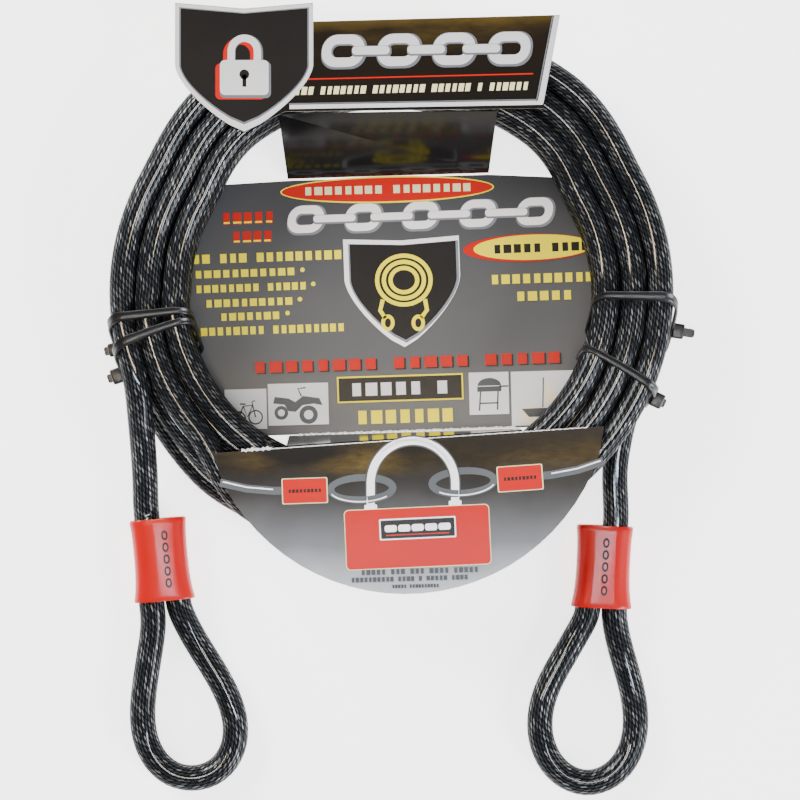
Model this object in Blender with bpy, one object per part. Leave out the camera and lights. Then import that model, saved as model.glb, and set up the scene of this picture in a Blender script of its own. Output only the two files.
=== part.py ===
"""Coiled security cable with an eye at each end, four cable ties and its folded display card.

It lies flat: the coil is in the XY plane, +Y runs from the eyes to the card's header and +Z is up.
The origin is the middle of the coil on the surface that the card rests on. Units are metres.
"""

import math

import bmesh
import bpy
import numpy as np
from mathutils import Matrix, Vector

# Cable and coil
CABLE_D = 0.0100
CABLE_R = CABLE_D / 2
ROW_RISE = CABLE_D * math.sqrt(3) / 2  # height from one nested row of turns to the next
COIL_HALF_X = 0.1077
COIL_HALF_Y = 0.1004
SHOULDER_BULGE = 0.0050  # how far the turns are pushed outward beside the slanting shelf
TOP_FLATTENING = 0.0032  # and how much of that they have lost behind the header's middle
COIL_WIDTH = 0.0300
COIL_STEPS = 72
LIFT_SIDE = 0.0024  # under the turns at the sides, where ties and card pass below them
LIFT_ENDS = 0.0003
GAP = 0.0003

# Where the free tails leave the coil, and where they bend
LEFT_TAIL_ROUTE = (
    (-0.1018, -0.0130, 0.0247),
    (-0.0990, -0.0260, 0.0247),
    (-0.0970, -0.0370, 0.0240),
    (-0.0960, -0.0487, 0.0211),
    (-0.0956, -0.0560, 0.0179),
    (-0.0953, -0.0640, 0.0141),
    (-0.0951, -0.0720, 0.0108),
)
RIGHT_TAIL_ROUTE = (
    (0.1018, -0.0130, 0.0074),
    (0.0990, -0.0250, 0.0074),
    (0.0948, -0.0370, 0.0074),
    (0.0910, -0.0450, 0.0074),
    (0.0880, -0.0560, 0.0072),
    (0.0862, -0.0700, 0.0069),
)
LEFT_PIVOT_Y = -0.0520
RIGHT_PIVOT_Y = -0.0550

# Eyes: the route of each loop from its live leg round to its dead end
EYE_Z = 0.0052
LEFT_EYE_ROUTE = (
    (-0.0924, -0.1265),
    (-0.0934, -0.1365),
    (-0.0952, -0.1480),
    (-0.0965, -0.1600),
    (-0.0957, -0.1710),
    (-0.0915, -0.1804),
    (-0.0845, -0.1861),
    (-0.0762, -0.1875),
    (-0.0681, -0.1847),
    (-0.0625, -0.1780),
    (-0.0606, -0.1686),
    (-0.0628, -0.1580),
    (-0.0682, -0.1470),
    (-0.0745, -0.1368),
    (-0.0798, -0.1272),
)
RIGHT_EYE_ROUTE = (
    (0.0865, -0.1285),
    (0.0892, -0.1400),
    (0.0925, -0.1520),
    (0.0943, -0.1645),
    (0.0926, -0.1758),
    (0.0863, -0.1852),
    (0.0760, -0.1893),
    (0.0656, -0.1856),
    (0.0590, -0.1764),
    (0.0573, -0.1648),
    (0.0601, -0.1530),
    (0.0662, -0.1412),
    (0.0721, -0.1308),
)

# Crimped ends
SLEEVE_LENGTH = 0.0318
SLEEVE_WALL = 0.0011
FERRULE_LENGTH = 0.0258
FERRULE_WALL = 0.0009
END_Z = 0.0068  # height of the ferrules' axes
ROPE_R = 0.0038  # steel rope without its jacket
ROPE_SPREAD = 0.0040  # from a ferrule's axis to each of its two ropes
LEG_SPREAD = 0.00515  # the same to the jacketed legs of the eye
LEFT_SLEEVE_TOP = (-0.0907, -0.0870)
LEFT_SLEEVE_LEAN = math.radians(5.2)
RIGHT_SLEEVE_TOP = (0.0824, -0.0897)
RIGHT_SLEEVE_LEAN = math.radians(-2.8)

# Ties
TIE_WIDTH = 0.0036
TIE_THICK = 0.00115
TIE_GAP = 0.00035

# Card
CARD_THICK = 0.0006
CARD_MID = CARD_THICK / 2
PANEL_Z = 0.0303  # mid-height of the panels that lie on the coil
TOP_FOLD = ((-0.0405, 0.0444), (0.0375, 0.0468))
HEADER_CREASE = ((-0.0430, 0.0678), (0.0400, 0.0690))
BOTTOM_FOLD = ((-0.0450, -0.0554), (0.0589, -0.0520))
LOWER_CREASE = ((-0.0682, -0.0609), (0.0804, -0.0507))
BOTTOM_SHELF_X = (-0.0400, 0.0495)
WING_RADIUS = 0.0840
WING_CENTRE = (0.0, -0.0030)
LOWER_RADIUS = 0.0778
LOWER_CENTRE = (0.0050, -0.0370)


def clear_scene():
    for ob in list(bpy.data.objects):
        bpy.data.objects.remove(ob, do_unlink=True)


def make_collection(name):
    collection = bpy.data.collections.new(name)
    bpy.context.scene.collection.children.link(collection)
    return collection


def make_material(name, colour, roughness, metallic=0.0):
    material = bpy.data.materials.new(name)
    material.use_nodes = True
    shader = material.node_tree.nodes["Principled BSDF"]
    shader.inputs["Base Color"].default_value = (*colour, 1.0)
    shader.inputs["Roughness"].default_value = roughness
    shader.inputs["Metallic"].default_value = metallic
    material.diffuse_color = (*colour, 1.0)
    return material


def smooth_step(value, low, high):
    t = min(max((value - low) / (high - low), 0.0), 1.0)
    return t * t * (3 - 2 * t)


def add_object(name, mesh, material, collection, smooth_angle=35):
    ob = bpy.data.objects.new(name, mesh)
    mesh.materials.clear()
    mesh.materials.append(material)
    mesh.shade_smooth()
    mesh.set_sharp_from_angle(angle=math.radians(smooth_angle))
    collection.objects.link(ob)
    return ob


def loft(name, rings, closed, material, collection):
    """A skin over rings of points. A closed loft joins its last ring to its first, an open one is capped."""
    bm = bmesh.new()
    layers = [[bm.verts.new(point) for point in ring] for ring in rings]
    pairs = list(zip(layers, layers[1:]))
    if closed:
        pairs.append((layers[-1], layers[0]))
    for low, high in pairs:
        for i in range(len(low)):
            j = (i + 1) % len(low)
            bm.faces.new((low[i], low[j], high[j], high[i]))
    if not closed:
        bm.faces.new(layers[0])
        bm.faces.new(layers[-1])
    bmesh.ops.recalc_face_normals(bm, faces=bm.faces)
    mesh = bpy.data.meshes.new(name)
    bm.to_mesh(mesh)
    bm.free()
    return add_object(name, mesh, material, collection)


def smooth_route(points, count_per_span=16):
    """Points read from one natural cubic spline through the route's own points, by chord length."""
    p = np.array([tuple(q) for q in points], dtype=float)
    chords = np.linalg.norm(np.diff(p, axis=0), axis=1)
    knots = np.concatenate(([0.0], np.cumsum(chords)))
    n = len(p)
    system = np.zeros((n, n))
    right = np.zeros((n, 3))
    system[0, 0] = system[-1, -1] = 1.0
    for i in range(1, n - 1):
        before, after = chords[i - 1], chords[i]
        system[i, i - 1] = before
        system[i, i] = 2 * (before + after)
        system[i, i + 1] = after
        right[i] = 6 * ((p[i + 1] - p[i]) / after - (p[i] - p[i - 1]) / before)
    bend = np.linalg.solve(system, right)
    route = []
    for i in range(n - 1):
        span = chords[i]
        for k in range(count_per_span):
            x = span * k / count_per_span
            a, b = span - x, x
            route.append(
                bend[i] * a**3 / (6 * span)
                + bend[i + 1] * b**3 / (6 * span)
                + (p[i] / span - bend[i] * span / 6) * a
                + (p[i + 1] / span - bend[i + 1] * span / 6) * b
            )
    route.append(p[-1])
    return np.array(route)


def spaced(route, spacing):
    """The same route with its points an equal distance apart, close to the spacing asked for."""
    steps = np.linalg.norm(np.diff(route, axis=0), axis=1)
    along = np.concatenate(([0.0], np.cumsum(steps)))
    count = max(int(round(along[-1] / spacing)), 2)
    wanted = np.linspace(0.0, along[-1], count + 1)
    return np.column_stack([np.interp(wanted, along, route[:, k]) for k in range(3)])


def tube(name, route, material, collection, dome_start=False, dome_end=False, spacing=0.009):
    """A cable stretch as a bevelled curve. A domed end lets its neighbour bend against it."""
    points = [Vector(q) for q in spaced(route, spacing)]
    radii = [1.0] * len(points)

    def dome(tip, inward):
        direction = (inward - tip).normalized()
        steps = (0.0, 0.0008, 0.0023, CABLE_R)
        made = [tip + direction * s for s in steps]
        sizes = [max(math.sqrt(1 - (1 - s / CABLE_R) ** 2), 0.3) for s in steps]
        return made, sizes

    if dome_start:
        made, sizes = dome(points[0], points[1])
        points = made + points[1:]
        radii = sizes + radii[1:]
    if dome_end:
        made, sizes = dome(points[-1], points[-2])
        points = points[:-1] + made[::-1]
        radii = radii[:-1] + sizes[::-1]
    curve = bpy.data.curves.new(name, "CURVE")
    curve.dimensions = "3D"
    curve.bevel_depth = CABLE_R
    curve.bevel_resolution = 3
    curve.use_fill_caps = True
    spline = curve.splines.new("POLY")
    spline.points.add(len(points) - 1)
    for point, place, radius in zip(spline.points, points, radii):
        point.co = (*place, 1.0)
        point.radius = radius
    return mesh_of_curve(name, curve, material, collection)


def mesh_of_curve(name, curve, material, collection, matrix=None):
    """The curve's solid as a mesh object with its caps welded."""
    guide = bpy.data.objects.new(name + "_guide", curve)
    bpy.context.scene.collection.objects.link(guide)
    bpy.context.view_layer.update()
    evaluated = guide.evaluated_get(bpy.context.evaluated_depsgraph_get())
    mesh = bpy.data.meshes.new_from_object(evaluated)
    bpy.data.objects.remove(guide, do_unlink=True)
    bm = bmesh.new()
    bm.from_mesh(mesh)
    bmesh.ops.remove_doubles(bm, verts=bm.verts, dist=0.00001)
    bmesh.ops.recalc_face_normals(bm, faces=bm.faces)
    bm.to_mesh(mesh)
    bm.free()
    mesh.name = name
    ob = add_object(name, mesh, material, collection)
    if matrix is not None:
        ob.matrix_world = matrix
    return ob


def flat_panel(name, outline, mid_z, material, collection):
    """A card panel: a filled 2D curve as thick as the card."""
    curve = bpy.data.curves.new(name, "CURVE")
    curve.dimensions = "2D"
    curve.fill_mode = "BOTH"
    curve.extrude = CARD_THICK / 2
    spline = curve.splines.new("POLY")
    spline.points.add(len(outline) - 1)
    spline.use_cyclic_u = True
    for point, (x, y) in zip(spline.points, outline):
        point.co = (x, y, 0.0, 1.0)
    return mesh_of_curve(name, curve, material, collection, Matrix.Translation((0, 0, mid_z)))


def arc(centre, radius, start_deg, end_deg, count):
    """Points of a circular arc, both ends included."""
    angles = [math.radians(start_deg + (end_deg - start_deg) * k / count) for k in range(count + 1)]
    return [(centre[0] + radius * math.cos(a), centre[1] + radius * math.sin(a)) for a in angles]


def coil_lift(theta):
    """Height of the lowest turn's underside: the coil rests on the ties at its sides."""
    return LIFT_ENDS + (LIFT_SIDE - LIFT_ENDS) * smooth_step(abs(math.cos(theta)), 0.2, 0.68)


def bundle_point(theta, inset, z, run=0.0):
    """A point inset from the coil's outer edge at an angle, moved on by a run along the bundle."""
    speed = math.hypot(COIL_HALF_X * math.sin(theta), COIL_HALF_Y * math.cos(theta))
    theta = theta + run / speed
    normal = Vector((math.cos(theta) / COIL_HALF_X, math.sin(theta) / COIL_HALF_Y)).normalized()
    edge = Vector((COIL_HALF_X * math.cos(theta), COIL_HALF_Y * math.sin(theta)))
    bulge = SHOULDER_BULGE * smooth_step(math.sin(theta), 0.45, 0.80)
    bulge -= TOP_FLATTENING * smooth_step(math.sin(theta), 0.90, 1.0)
    place = edge + normal * (bulge - inset)
    return Vector((place.x, place.y, z))


def rows(theta):
    """Heights of the three rows of turns: bottom, middle and top."""
    bottom = coil_lift(theta) + CABLE_R
    return bottom, bottom + ROW_RISE, bottom + 2 * ROW_RISE


def mixed(full, cut, weight):
    """Points part of the way from one outline to another."""
    return [(a[0] + (b[0] - a[0]) * weight, a[1] + (b[1] - a[1]) * weight) for a, b in zip(full, cut)]


def coil_section(theta, tail_side):
    """The bundle's outline at an angle, as (inset, height). tail_side is the groove that a tail lies in."""
    low, mid, top = rows(theta)
    r = CABLE_R
    diagonal = r * math.sqrt(0.5)
    inner = COIL_WIDTH - r
    groove = CABLE_D + 0.0004
    outline = [
        (inner, low - r),
        (inner + diagonal, low - diagonal),
        (inner + r, low),
        (inner + r, top),
        (inner + diagonal, top + diagonal),
        (inner, top + r),
    ]
    full_top = [(r, top + r), (r - diagonal, top + diagonal), (0.0, top), (0.0, mid + 0.002)]
    full_low = [(0.0, mid - 0.002), (0.0, low), (r - diagonal, low - diagonal), (r, low - r)]
    open_top = [(0.0125, top + r), (groove, top + 0.002), (groove, top - 0.0033), (0.0, mid - 0.0007)]
    open_low = [(0.0, mid + 0.0007), (groove, low + 0.0033), (groove, low - 0.002), (0.0125, low - r)]
    below = -math.degrees(math.asin(max(min(math.sin(theta), 0.0), -1.0)))
    top_groove = low_groove = 0.0
    if tail_side == "left":
        top_groove = 1.0 - smooth_step(below, 37.0, 56.0)
    elif tail_side == "right":
        low_groove = 1.0 - smooth_step(below, 47.0, 63.0)
    outline += mixed(full_top, open_top, top_groove)
    return outline + mixed(full_low, open_low, low_groove)


def make_coil(material, collection):
    """All the turns as one closed ring, with a groove on each side where a tail leaves it."""
    stations = [(math.radians(360 * k / COIL_STEPS), None) for k in range(COIL_STEPS // 2 + 1)]
    just_past = math.radians(0.02)
    stations.append((math.pi + just_past, "left"))
    half = COIL_STEPS // 2
    stations += [
        (math.radians(360 * k / COIL_STEPS), "left" if k < half * 1.5 else "right")
        for k in range(half + 1, COIL_STEPS)
    ]
    stations.append((2 * math.pi - just_past, "right"))
    rings = []
    for theta, side in stations:
        rings.append([bundle_point(theta, inset, z) for inset, z in coil_section(theta, side)])
    return loft("cable_coil", rings, True, material, collection)


def oval(half_width, half_thick, count=12):
    """A ring with straight flats and round ends, as (across, up)."""
    flat = half_width - half_thick
    right = [-math.pi / 2 + math.pi * k / (count - 1) for k in range(count)]
    ring = [(flat + half_thick * math.cos(a), half_thick * math.sin(a)) for a in right]
    return ring + [(-x, -z) for x, z in ring]


class CrimpedEnd:
    """The frame of one crimped end: its axis runs from the tail towards the eye."""

    def __init__(self, side, top, lean):
        self.side = side  # -1 when the live leg is on the -X side
        self.axis = Vector((math.sin(lean), -math.cos(lean), 0.0))
        self.across = Vector((math.cos(lean), math.sin(lean), 0.0))
        self.top = Vector((top[0], top[1], END_Z))

    def place(self, along, across=0.0, up=0.0):
        return self.top + self.axis * along + self.across * across + Vector((0.0, 0.0, up))

    def ferrule_start(self):
        return (SLEEVE_LENGTH - FERRULE_LENGTH) / 2

    def ferrule_end(self):
        return (SLEEVE_LENGTH + FERRULE_LENGTH) / 2


def make_sleeve(name, end, material, collection):
    """The soft sleeve over the ferrule, waisted in the middle and flared at its mouths."""
    stations = (
        (0.0, 0.0108),
        (0.0010, 0.0110),
        (0.0060, 0.0105),
        (SLEEVE_LENGTH * 0.50, 0.0104),
        (SLEEVE_LENGTH - 0.0070, 0.0109),
        (SLEEVE_LENGTH - 0.0010, 0.0118),
        (SLEEVE_LENGTH, 0.0116),
    )
    half_thick = 0.0064
    outer = [(along, half, half_thick) for along, half in stations]
    inner = [(along, half - SLEEVE_WALL, half_thick - SLEEVE_WALL) for along, half in reversed(stations)]
    rings = []
    for along, half, thick in outer + inner:
        rings.append([end.place(along, x, z) for x, z in oval(half, thick)])
    return loft(name, rings, True, material, collection)


def make_ferrule(name, end, material, collection):
    """The aluminium ferrule: an oval tube pressed round the two steel ropes."""
    bore_thick = ROPE_R + GAP
    bore_width = ROPE_SPREAD + bore_thick
    low, high = end.ferrule_start(), end.ferrule_end()
    outer_width, outer_thick = bore_width + FERRULE_WALL, bore_thick + FERRULE_WALL
    walls = (
        (low, outer_width - 0.0003, outer_thick - 0.0003),
        (low + 0.0006, outer_width, outer_thick),
        (high - 0.0006, outer_width, outer_thick),
        (high, outer_width - 0.0003, outer_thick - 0.0003),
        (high, bore_width, bore_thick),
        (low, bore_width, bore_thick),
    )
    rings = [[end.place(along, x, z) for x, z in oval(half, thick)] for along, half, thick in walls]
    return loft(name, rings, True, material, collection)


def make_rope(name, end, side, material, collection):
    """One of the two bare steel ropes inside a ferrule."""
    middle = end.place(SLEEVE_LENGTH / 2, side * ROPE_SPREAD)
    bpy.ops.mesh.primitive_cylinder_add(vertices=18, radius=ROPE_R, depth=FERRULE_LENGTH)
    made = bpy.context.object
    mesh = made.data
    bpy.data.objects.remove(made, do_unlink=True)
    ob = add_object(name, mesh, material, collection)
    ob.rotation_mode = "QUATERNION"
    ob.rotation_quaternion = Vector((0, 0, 1)).rotation_difference(end.axis)
    ob.location = middle
    return ob


def make_tail(prefix, theta, slot_z, route, end, pivot_y, pivot, material, collection):
    """The tail from the coil to its ferrule, in two stretches that meet at the pivot."""
    start = bundle_point(theta, CABLE_R, slot_z)
    start.y -= GAP
    leg = end.side * ROPE_SPREAD
    last = end.ferrule_start() - 3 * GAP
    knots = [start, *route, end.place(last - 0.0065, leg), end.place(last, leg)]
    path = smooth_route(knots)
    cut = int(np.argmin(np.abs(path[:, 1] - pivot_y)))
    turn = Vector(path[cut])
    tangent = Vector(path[cut + 1] - path[cut - 1]).normalized()
    half_gap = 1.5 * GAP  # room for the domed ends to roll past each other
    upper = np.vstack([path[: cut - 1], [turn - tangent * half_gap]])
    lower = np.vstack([[turn + tangent * half_gap], path[cut + 2 :]])
    tube(prefix + "_tail_upper", upper, material, collection, dome_end=True)
    lower_tube = tube(prefix + "_tail_lower", lower, material, collection, dome_start=True)
    pivot.location = turn
    hold(lower_tube, pivot)
    return turn


def make_eye(name, end, route, material, collection):
    """The loop of cable from the ferrule round and back to it."""
    first = end.ferrule_end() + 3 * GAP
    live, dead = end.side * LEG_SPREAD, -end.side * LEG_SPREAD
    middle = [Vector((x, y, EYE_Z)) for x, y in route]
    middle[0].z = middle[-1].z = (EYE_Z + END_Z) / 2
    knots = [end.place(first, live), end.place(first + 0.003, live), *middle]
    knots += [end.place(first + 0.003, dead), end.place(first, dead)]
    path = smooth_route(knots)
    return tube(name, path, material, collection, spacing=0.008)


def hold(ob, pivot):
    """Parents a piece to the empty on its joint's axis without moving it."""
    bpy.context.view_layer.update()
    world = ob.matrix_world.copy()
    ob.parent = pivot
    ob.matrix_parent_inverse = Matrix.Translation(-pivot.location)
    ob.matrix_world = world


def make_pivot(name, place, collection):
    empty = bpy.data.objects.new(name, None)
    empty.location = place
    collection.objects.link(empty)
    return empty


def tie_outline(low, top, grow, per_corner=5):
    """The strap's run round the bundle: a rounded rectangle, as (inset, height)."""
    r = CABLE_R + grow
    corners = (
        (COIL_WIDTH - CABLE_R, low, -90),
        (COIL_WIDTH - CABLE_R, top, 0),
        (CABLE_R, top, 90),
        (CABLE_R, low, 180),
    )
    points = []
    for inset, z, start in corners:
        for k in range(per_corner):
            a = math.radians(start + 90 * k / (per_corner - 1))
            points.append((inset + r * math.cos(a), z + r * math.sin(a)))
    return points


def make_tie(name, theta, run, yaw, tilt, head, material, collection):
    """A cable tie cinched round the bundle. run is along the bundle, yaw and tilt are how far it slants."""
    travel = 1.0 if theta > 1.0 else -1.0  # both sides run downwards
    low, _mid, top = rows(theta + travel * run / COIL_HALF_Y)
    height = top - low

    def slanted(inset, z, across):
        slant = yaw * (1 - inset / COIL_WIDTH) + tilt * (1 - (z - low) / height)
        return bundle_point(theta, inset, z, travel * (run + slant + across))

    inner = tie_outline(low, top, TIE_GAP)
    outer = tie_outline(low, top, TIE_GAP + TIE_THICK)
    rings = []
    for (a, za), (b, zb) in zip(inner, outer):
        rings.append(
            [
                slanted(a, za, -TIE_WIDTH / 2),
                slanted(b, zb, -TIE_WIDTH / 2),
                slanted(b, zb, TIE_WIDTH / 2),
                slanted(a, za, TIE_WIDTH / 2),
            ]
        )
    strap = loft(name, rings, True, material, collection)
    at_inset, at_height, length, wide, thick, stub = head
    add_tie_head(strap, slanted, at_inset, low + height * at_height, (length, wide, thick, stub))
    return strap


def add_tie_head(strap, slanted, inset, z, sizes):
    """Joins the ratchet head and the cut end of the strap to a tie."""
    length, wide, thick, stub = sizes
    centre = slanted(inset, z, 0.0)
    across = (slanted(inset, z, 0.001) - centre).normalized()
    outward = (slanted(inset - 0.001, z, 0.0) - centre).normalized()
    along = outward.cross(across).normalized()
    outward = across.cross(along).normalized()
    turn = Matrix((along, across, outward)).transposed().to_4x4()
    bm = bmesh.new()
    bmesh.ops.create_cube(bm, size=1.0)
    bmesh.ops.scale(bm, vec=(length, wide, thick), verts=bm.verts)
    bmesh.ops.bevel(bm, geom=list(bm.edges), offset=0.0006, segments=2, affect="EDGES", profile=0.5)
    block = bpy.data.meshes.new(strap.name + "_head")
    bm.to_mesh(block)
    bm.free()
    block.transform(Matrix.Translation(centre) @ turn)
    bm = bmesh.new()
    bmesh.ops.create_cube(bm, size=1.0)
    bmesh.ops.scale(bm, vec=(TIE_THICK, TIE_WIDTH * 0.94, stub), verts=bm.verts)
    tip = bpy.data.meshes.new(strap.name + "_tip")
    bm.to_mesh(tip)
    bm.free()
    tip.transform(Matrix.Translation(centre + outward * (stub / 2 + 0.0005)) @ turn)
    for piece in (block, tip):
        cutter = bpy.data.objects.new(piece.name, piece)
        cutter.hide_render = True
        cutter.display_type = "WIRE"
        CUTTERS.objects.link(cutter)
        union = strap.modifiers.new(piece.name, "BOOLEAN")
        union.operation = "UNION"
        union.solver = "EXACT"
        union.object = cutter


def crease_side(crease, clearance, toward):
    """The crease's two ends moved a little to one side, +1 towards +Y."""
    (x0, y0), (x1, y1) = crease
    run = Vector((x1 - x0, y1 - y0)).normalized()
    step = Vector((-run.y, run.x)) * clearance * toward
    return (x0 + step.x, y0 + step.y), (x1 + step.x, y1 + step.y)


def part_of(crease, span):
    """The stretch of a crease between two values of x."""
    (x0, y0), (x1, y1) = crease
    return tuple((x, y0 + (y1 - y0) * (x - x0) / (x1 - x0)) for x in span)


def make_shelf(name, low_crease, high_crease, material, collection):
    """A slanting panel that joins the card's back to a panel on top of the coil."""
    ends = []
    for side in (0, 1):
        low = Vector((*low_crease[side], CARD_MID))
        high = Vector((*high_crease[side], PANEL_Z))
        rise = (high - low).normalized()
        ends.append((low + rise * 0.0008, high - rise * 0.0008))
    run = (ends[1][0] - ends[0][0]).normalized()
    normal = run.cross(ends[0][1] - ends[0][0]).normalized() * CARD_MID
    rings = []
    for low, high in ends:
        rings.append([low - normal, high - normal, high + normal, low + normal])
    return loft(name, rings, False, material, collection)


def make_card(materials, collection):
    """The display card: five panels joined by creases, threaded through the coil."""
    back_top = crease_side(TOP_FOLD, 0.0004, -1)
    back_bottom = crease_side(BOTTOM_FOLD, 0.0004, 1)
    back = [back_bottom[0], back_bottom[1]]
    back += arc(WING_CENTRE, WING_RADIUS, -36.0, 35.0, 14)
    back += [back_top[1], back_top[0]]
    back += arc(WING_CENTRE, WING_RADIUS, 147.5, 218.5, 14)
    flat_panel("card_back_panel", back, CARD_MID, materials["print"], collection)
    make_shelf("card_top_shelf", TOP_FOLD, HEADER_CREASE, materials["gloss"], collection)
    fold, crease = part_of(BOTTOM_FOLD, BOTTOM_SHELF_X), part_of(LOWER_CREASE, BOTTOM_SHELF_X)
    make_shelf("card_bottom_shelf", fold, crease, materials["gloss"], collection)
    flat_panel("card_header", header_outline(), PANEL_Z, materials["gloss"], collection)
    lower = list(reversed(crease_side(LOWER_CREASE, 0.0005, -1)))
    lower += arc(LOWER_CENTRE, LOWER_RADIUS, 208.4, 341.4, 26)
    flat_panel("card_lower_panel", lower, PANEL_Z, materials["print"], collection)


def header_outline():
    """The header's outline: a slant-ended banner with a shield badge at its left."""
    low_left, low_right = crease_side(HEADER_CREASE, 0.0003, 1)
    slope = (low_right[1] - low_left[1]) / (low_right[0] - low_left[0])
    right_low = (0.0573, low_right[1] + slope * (0.0573 - low_right[0]) - 0.0002)
    badge_x, badge_half = -0.0560, 0.0262
    badge_top, badge_tip = 0.1094, 0.0604
    shoulder = 0.0860
    outline = [right_low, (0.0638, 0.1048), (badge_x + badge_half - 0.0030, 0.1022)]
    outline += [(badge_x + badge_half, badge_top), (badge_x, badge_top - 0.0022)]
    outline.append((badge_x - badge_half, badge_top))
    flank = []
    for k in range(1, 8):
        t = k / 8
        half = badge_half * math.cos(t * math.pi / 2) ** 0.75
        flank.append((half, shoulder + (badge_tip - shoulder) * t**1.25))
    outline += [(badge_x - half, y) for half, y in flank]
    outline.append((badge_x, badge_tip))
    for half, y in reversed(flank):  # up to the banner's lower edge
        if y < low_left[1] + slope * (badge_x + half - low_left[0]) - 0.0006:
            outline.append((badge_x + half, y))
    junction = -0.0405
    outline.append((junction, low_left[1] + slope * (junction - low_left[0])))
    return outline


clear_scene()
PARTS = make_collection("cable_lock")
CUTTERS = make_collection("cutters")

JACKET = make_material("cable_jacket", (0.025, 0.026, 0.028), 0.22)
SLEEVE_RED = make_material("sleeve_red", (0.80, 0.035, 0.012), 0.35)
ALUMINIUM = make_material("ferrule_aluminium", (0.72, 0.72, 0.74), 0.38, 1.0)
STEEL = make_material("bare_rope_steel", (0.42, 0.42, 0.43), 0.40, 1.0)
TIE_NYLON = make_material("tie_nylon", (0.012, 0.012, 0.013), 0.40)
CARD = {
    "print": make_material("card_print", (0.10, 0.098, 0.097), 0.40),
    "gloss": make_material("card_gloss", (0.020, 0.015, 0.012), 0.20),
}

make_coil(JACKET, PARTS)
LEFT_END = CrimpedEnd(-1, LEFT_SLEEVE_TOP, LEFT_SLEEVE_LEAN)
RIGHT_END = CrimpedEnd(1, RIGHT_SLEEVE_TOP, RIGHT_SLEEVE_LEAN)
SIDES = (
    ("left", LEFT_END, math.pi, rows(math.pi)[2], LEFT_TAIL_ROUTE, LEFT_PIVOT_Y, LEFT_EYE_ROUTE),
    ("right", RIGHT_END, 0.0, rows(0.0)[0], RIGHT_TAIL_ROUTE, RIGHT_PIVOT_Y, RIGHT_EYE_ROUTE),
)
for prefix, end, theta, slot_z, tail_route, pivot_y, eye_route in SIDES:
    pivot = make_pivot(prefix + "_end_swing", (0, 0, 0), PARTS)
    turn = make_tail(prefix, theta, slot_z, tail_route, end, pivot_y, pivot, JACKET, PARTS)
    print(prefix, "pivot", tuple(round(v, 5) for v in turn))
    swinging = [
        make_eye(prefix + "_eye", end, eye_route, JACKET, PARTS),
        make_ferrule(prefix + "_ferrule", end, ALUMINIUM, PARTS),
        make_sleeve(prefix + "_sleeve", end, SLEEVE_RED, PARTS),
        make_rope(prefix + "_live_rope", end, end.side, STEEL, PARTS),
        make_rope(prefix + "_dead_end_rope", end, -end.side, STEEL, PARTS),
    ]
    for piece in swinging:
        hold(piece, pivot)

# name, side of the coil, run along the bundle, yaw, tilt,
# and the head's inset, height, length, width, thickness and stub
TIES = (
    ("tie_left_upper", math.pi, 0.0135, 0.0, 0.0100, (-0.0022, 0.20, 0.0048, 0.0052, 0.0036, 0.0030)),
    ("tie_left_lower", math.pi, 0.0190, 0.0055, 0.0110, (-0.0030, 0.42, 0.0062, 0.0060, 0.0046, 0.0036)),
    ("tie_right_upper", 0.0, 0.0065, 0.0, 0.0130, (-0.0032, 0.40, 0.0060, 0.0058, 0.0046, 0.0060)),
    ("tie_right_lower", 0.0, 0.0330, 0.0060, 0.0040, (-0.0030, 0.62, 0.0062, 0.0058, 0.0046, 0.0030)),
)
for name, theta, run, yaw, tilt, head in TIES:
    make_tie(name, theta, run, yaw, tilt, head, TIE_NYLON, PARTS)

make_card(CARD, PARTS)
TOP_FLAP = make_pivot("top_flap_fold", Vector((*TOP_FOLD[0], CARD_MID)), PARTS)
LOWER_FLAP = make_pivot("lower_panel_fold", Vector((*LOWER_CREASE[0], PANEL_Z)), PARTS)
for name, pivot in (
    ("card_top_shelf", TOP_FLAP),
    ("card_header", TOP_FLAP),
    ("card_lower_panel", LOWER_FLAP),
):
    hold(bpy.data.objects[name], pivot)
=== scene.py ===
import math

import bmesh
import bpy
import numpy as np
from mathutils import Matrix, Vector


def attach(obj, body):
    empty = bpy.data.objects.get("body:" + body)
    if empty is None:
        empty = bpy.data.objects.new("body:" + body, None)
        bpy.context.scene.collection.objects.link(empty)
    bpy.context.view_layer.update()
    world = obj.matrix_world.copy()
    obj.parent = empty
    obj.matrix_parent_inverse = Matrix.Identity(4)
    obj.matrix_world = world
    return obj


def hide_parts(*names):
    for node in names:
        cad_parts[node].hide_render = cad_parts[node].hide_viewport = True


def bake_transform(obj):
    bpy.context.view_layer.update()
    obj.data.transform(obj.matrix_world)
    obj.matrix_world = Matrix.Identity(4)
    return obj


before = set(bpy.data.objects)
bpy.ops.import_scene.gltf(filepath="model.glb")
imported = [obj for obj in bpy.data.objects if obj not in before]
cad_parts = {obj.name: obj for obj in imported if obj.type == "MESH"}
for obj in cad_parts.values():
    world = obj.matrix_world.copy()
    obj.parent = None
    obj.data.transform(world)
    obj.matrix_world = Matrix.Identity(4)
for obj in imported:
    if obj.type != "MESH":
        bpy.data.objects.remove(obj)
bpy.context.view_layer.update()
bpy.ops.object.select_all(action="DESELECT")
print("frame loaded:", len(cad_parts), "nodes")

# bendRings is how far each side of a pivot a tail would bend, eyesDeep both eyes from mouth to tip
cable = {"diameter": 0.0100, "sides": 24, "ringStep": 0.0026, "bendRings": 6, "eyesDeep": 0.147}
cable["radius"] = cable["diameter"] / 2
cable["rowRise"] = cable["diameter"] * math.sqrt(3) / 2  # nested rows of turns


def smoothStep(value, low, high):
    t = min(max((value - low) / (high - low), 0.0), 1.0)
    return t * t * (3 - 2 * t)


# camera, light and floor

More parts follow.
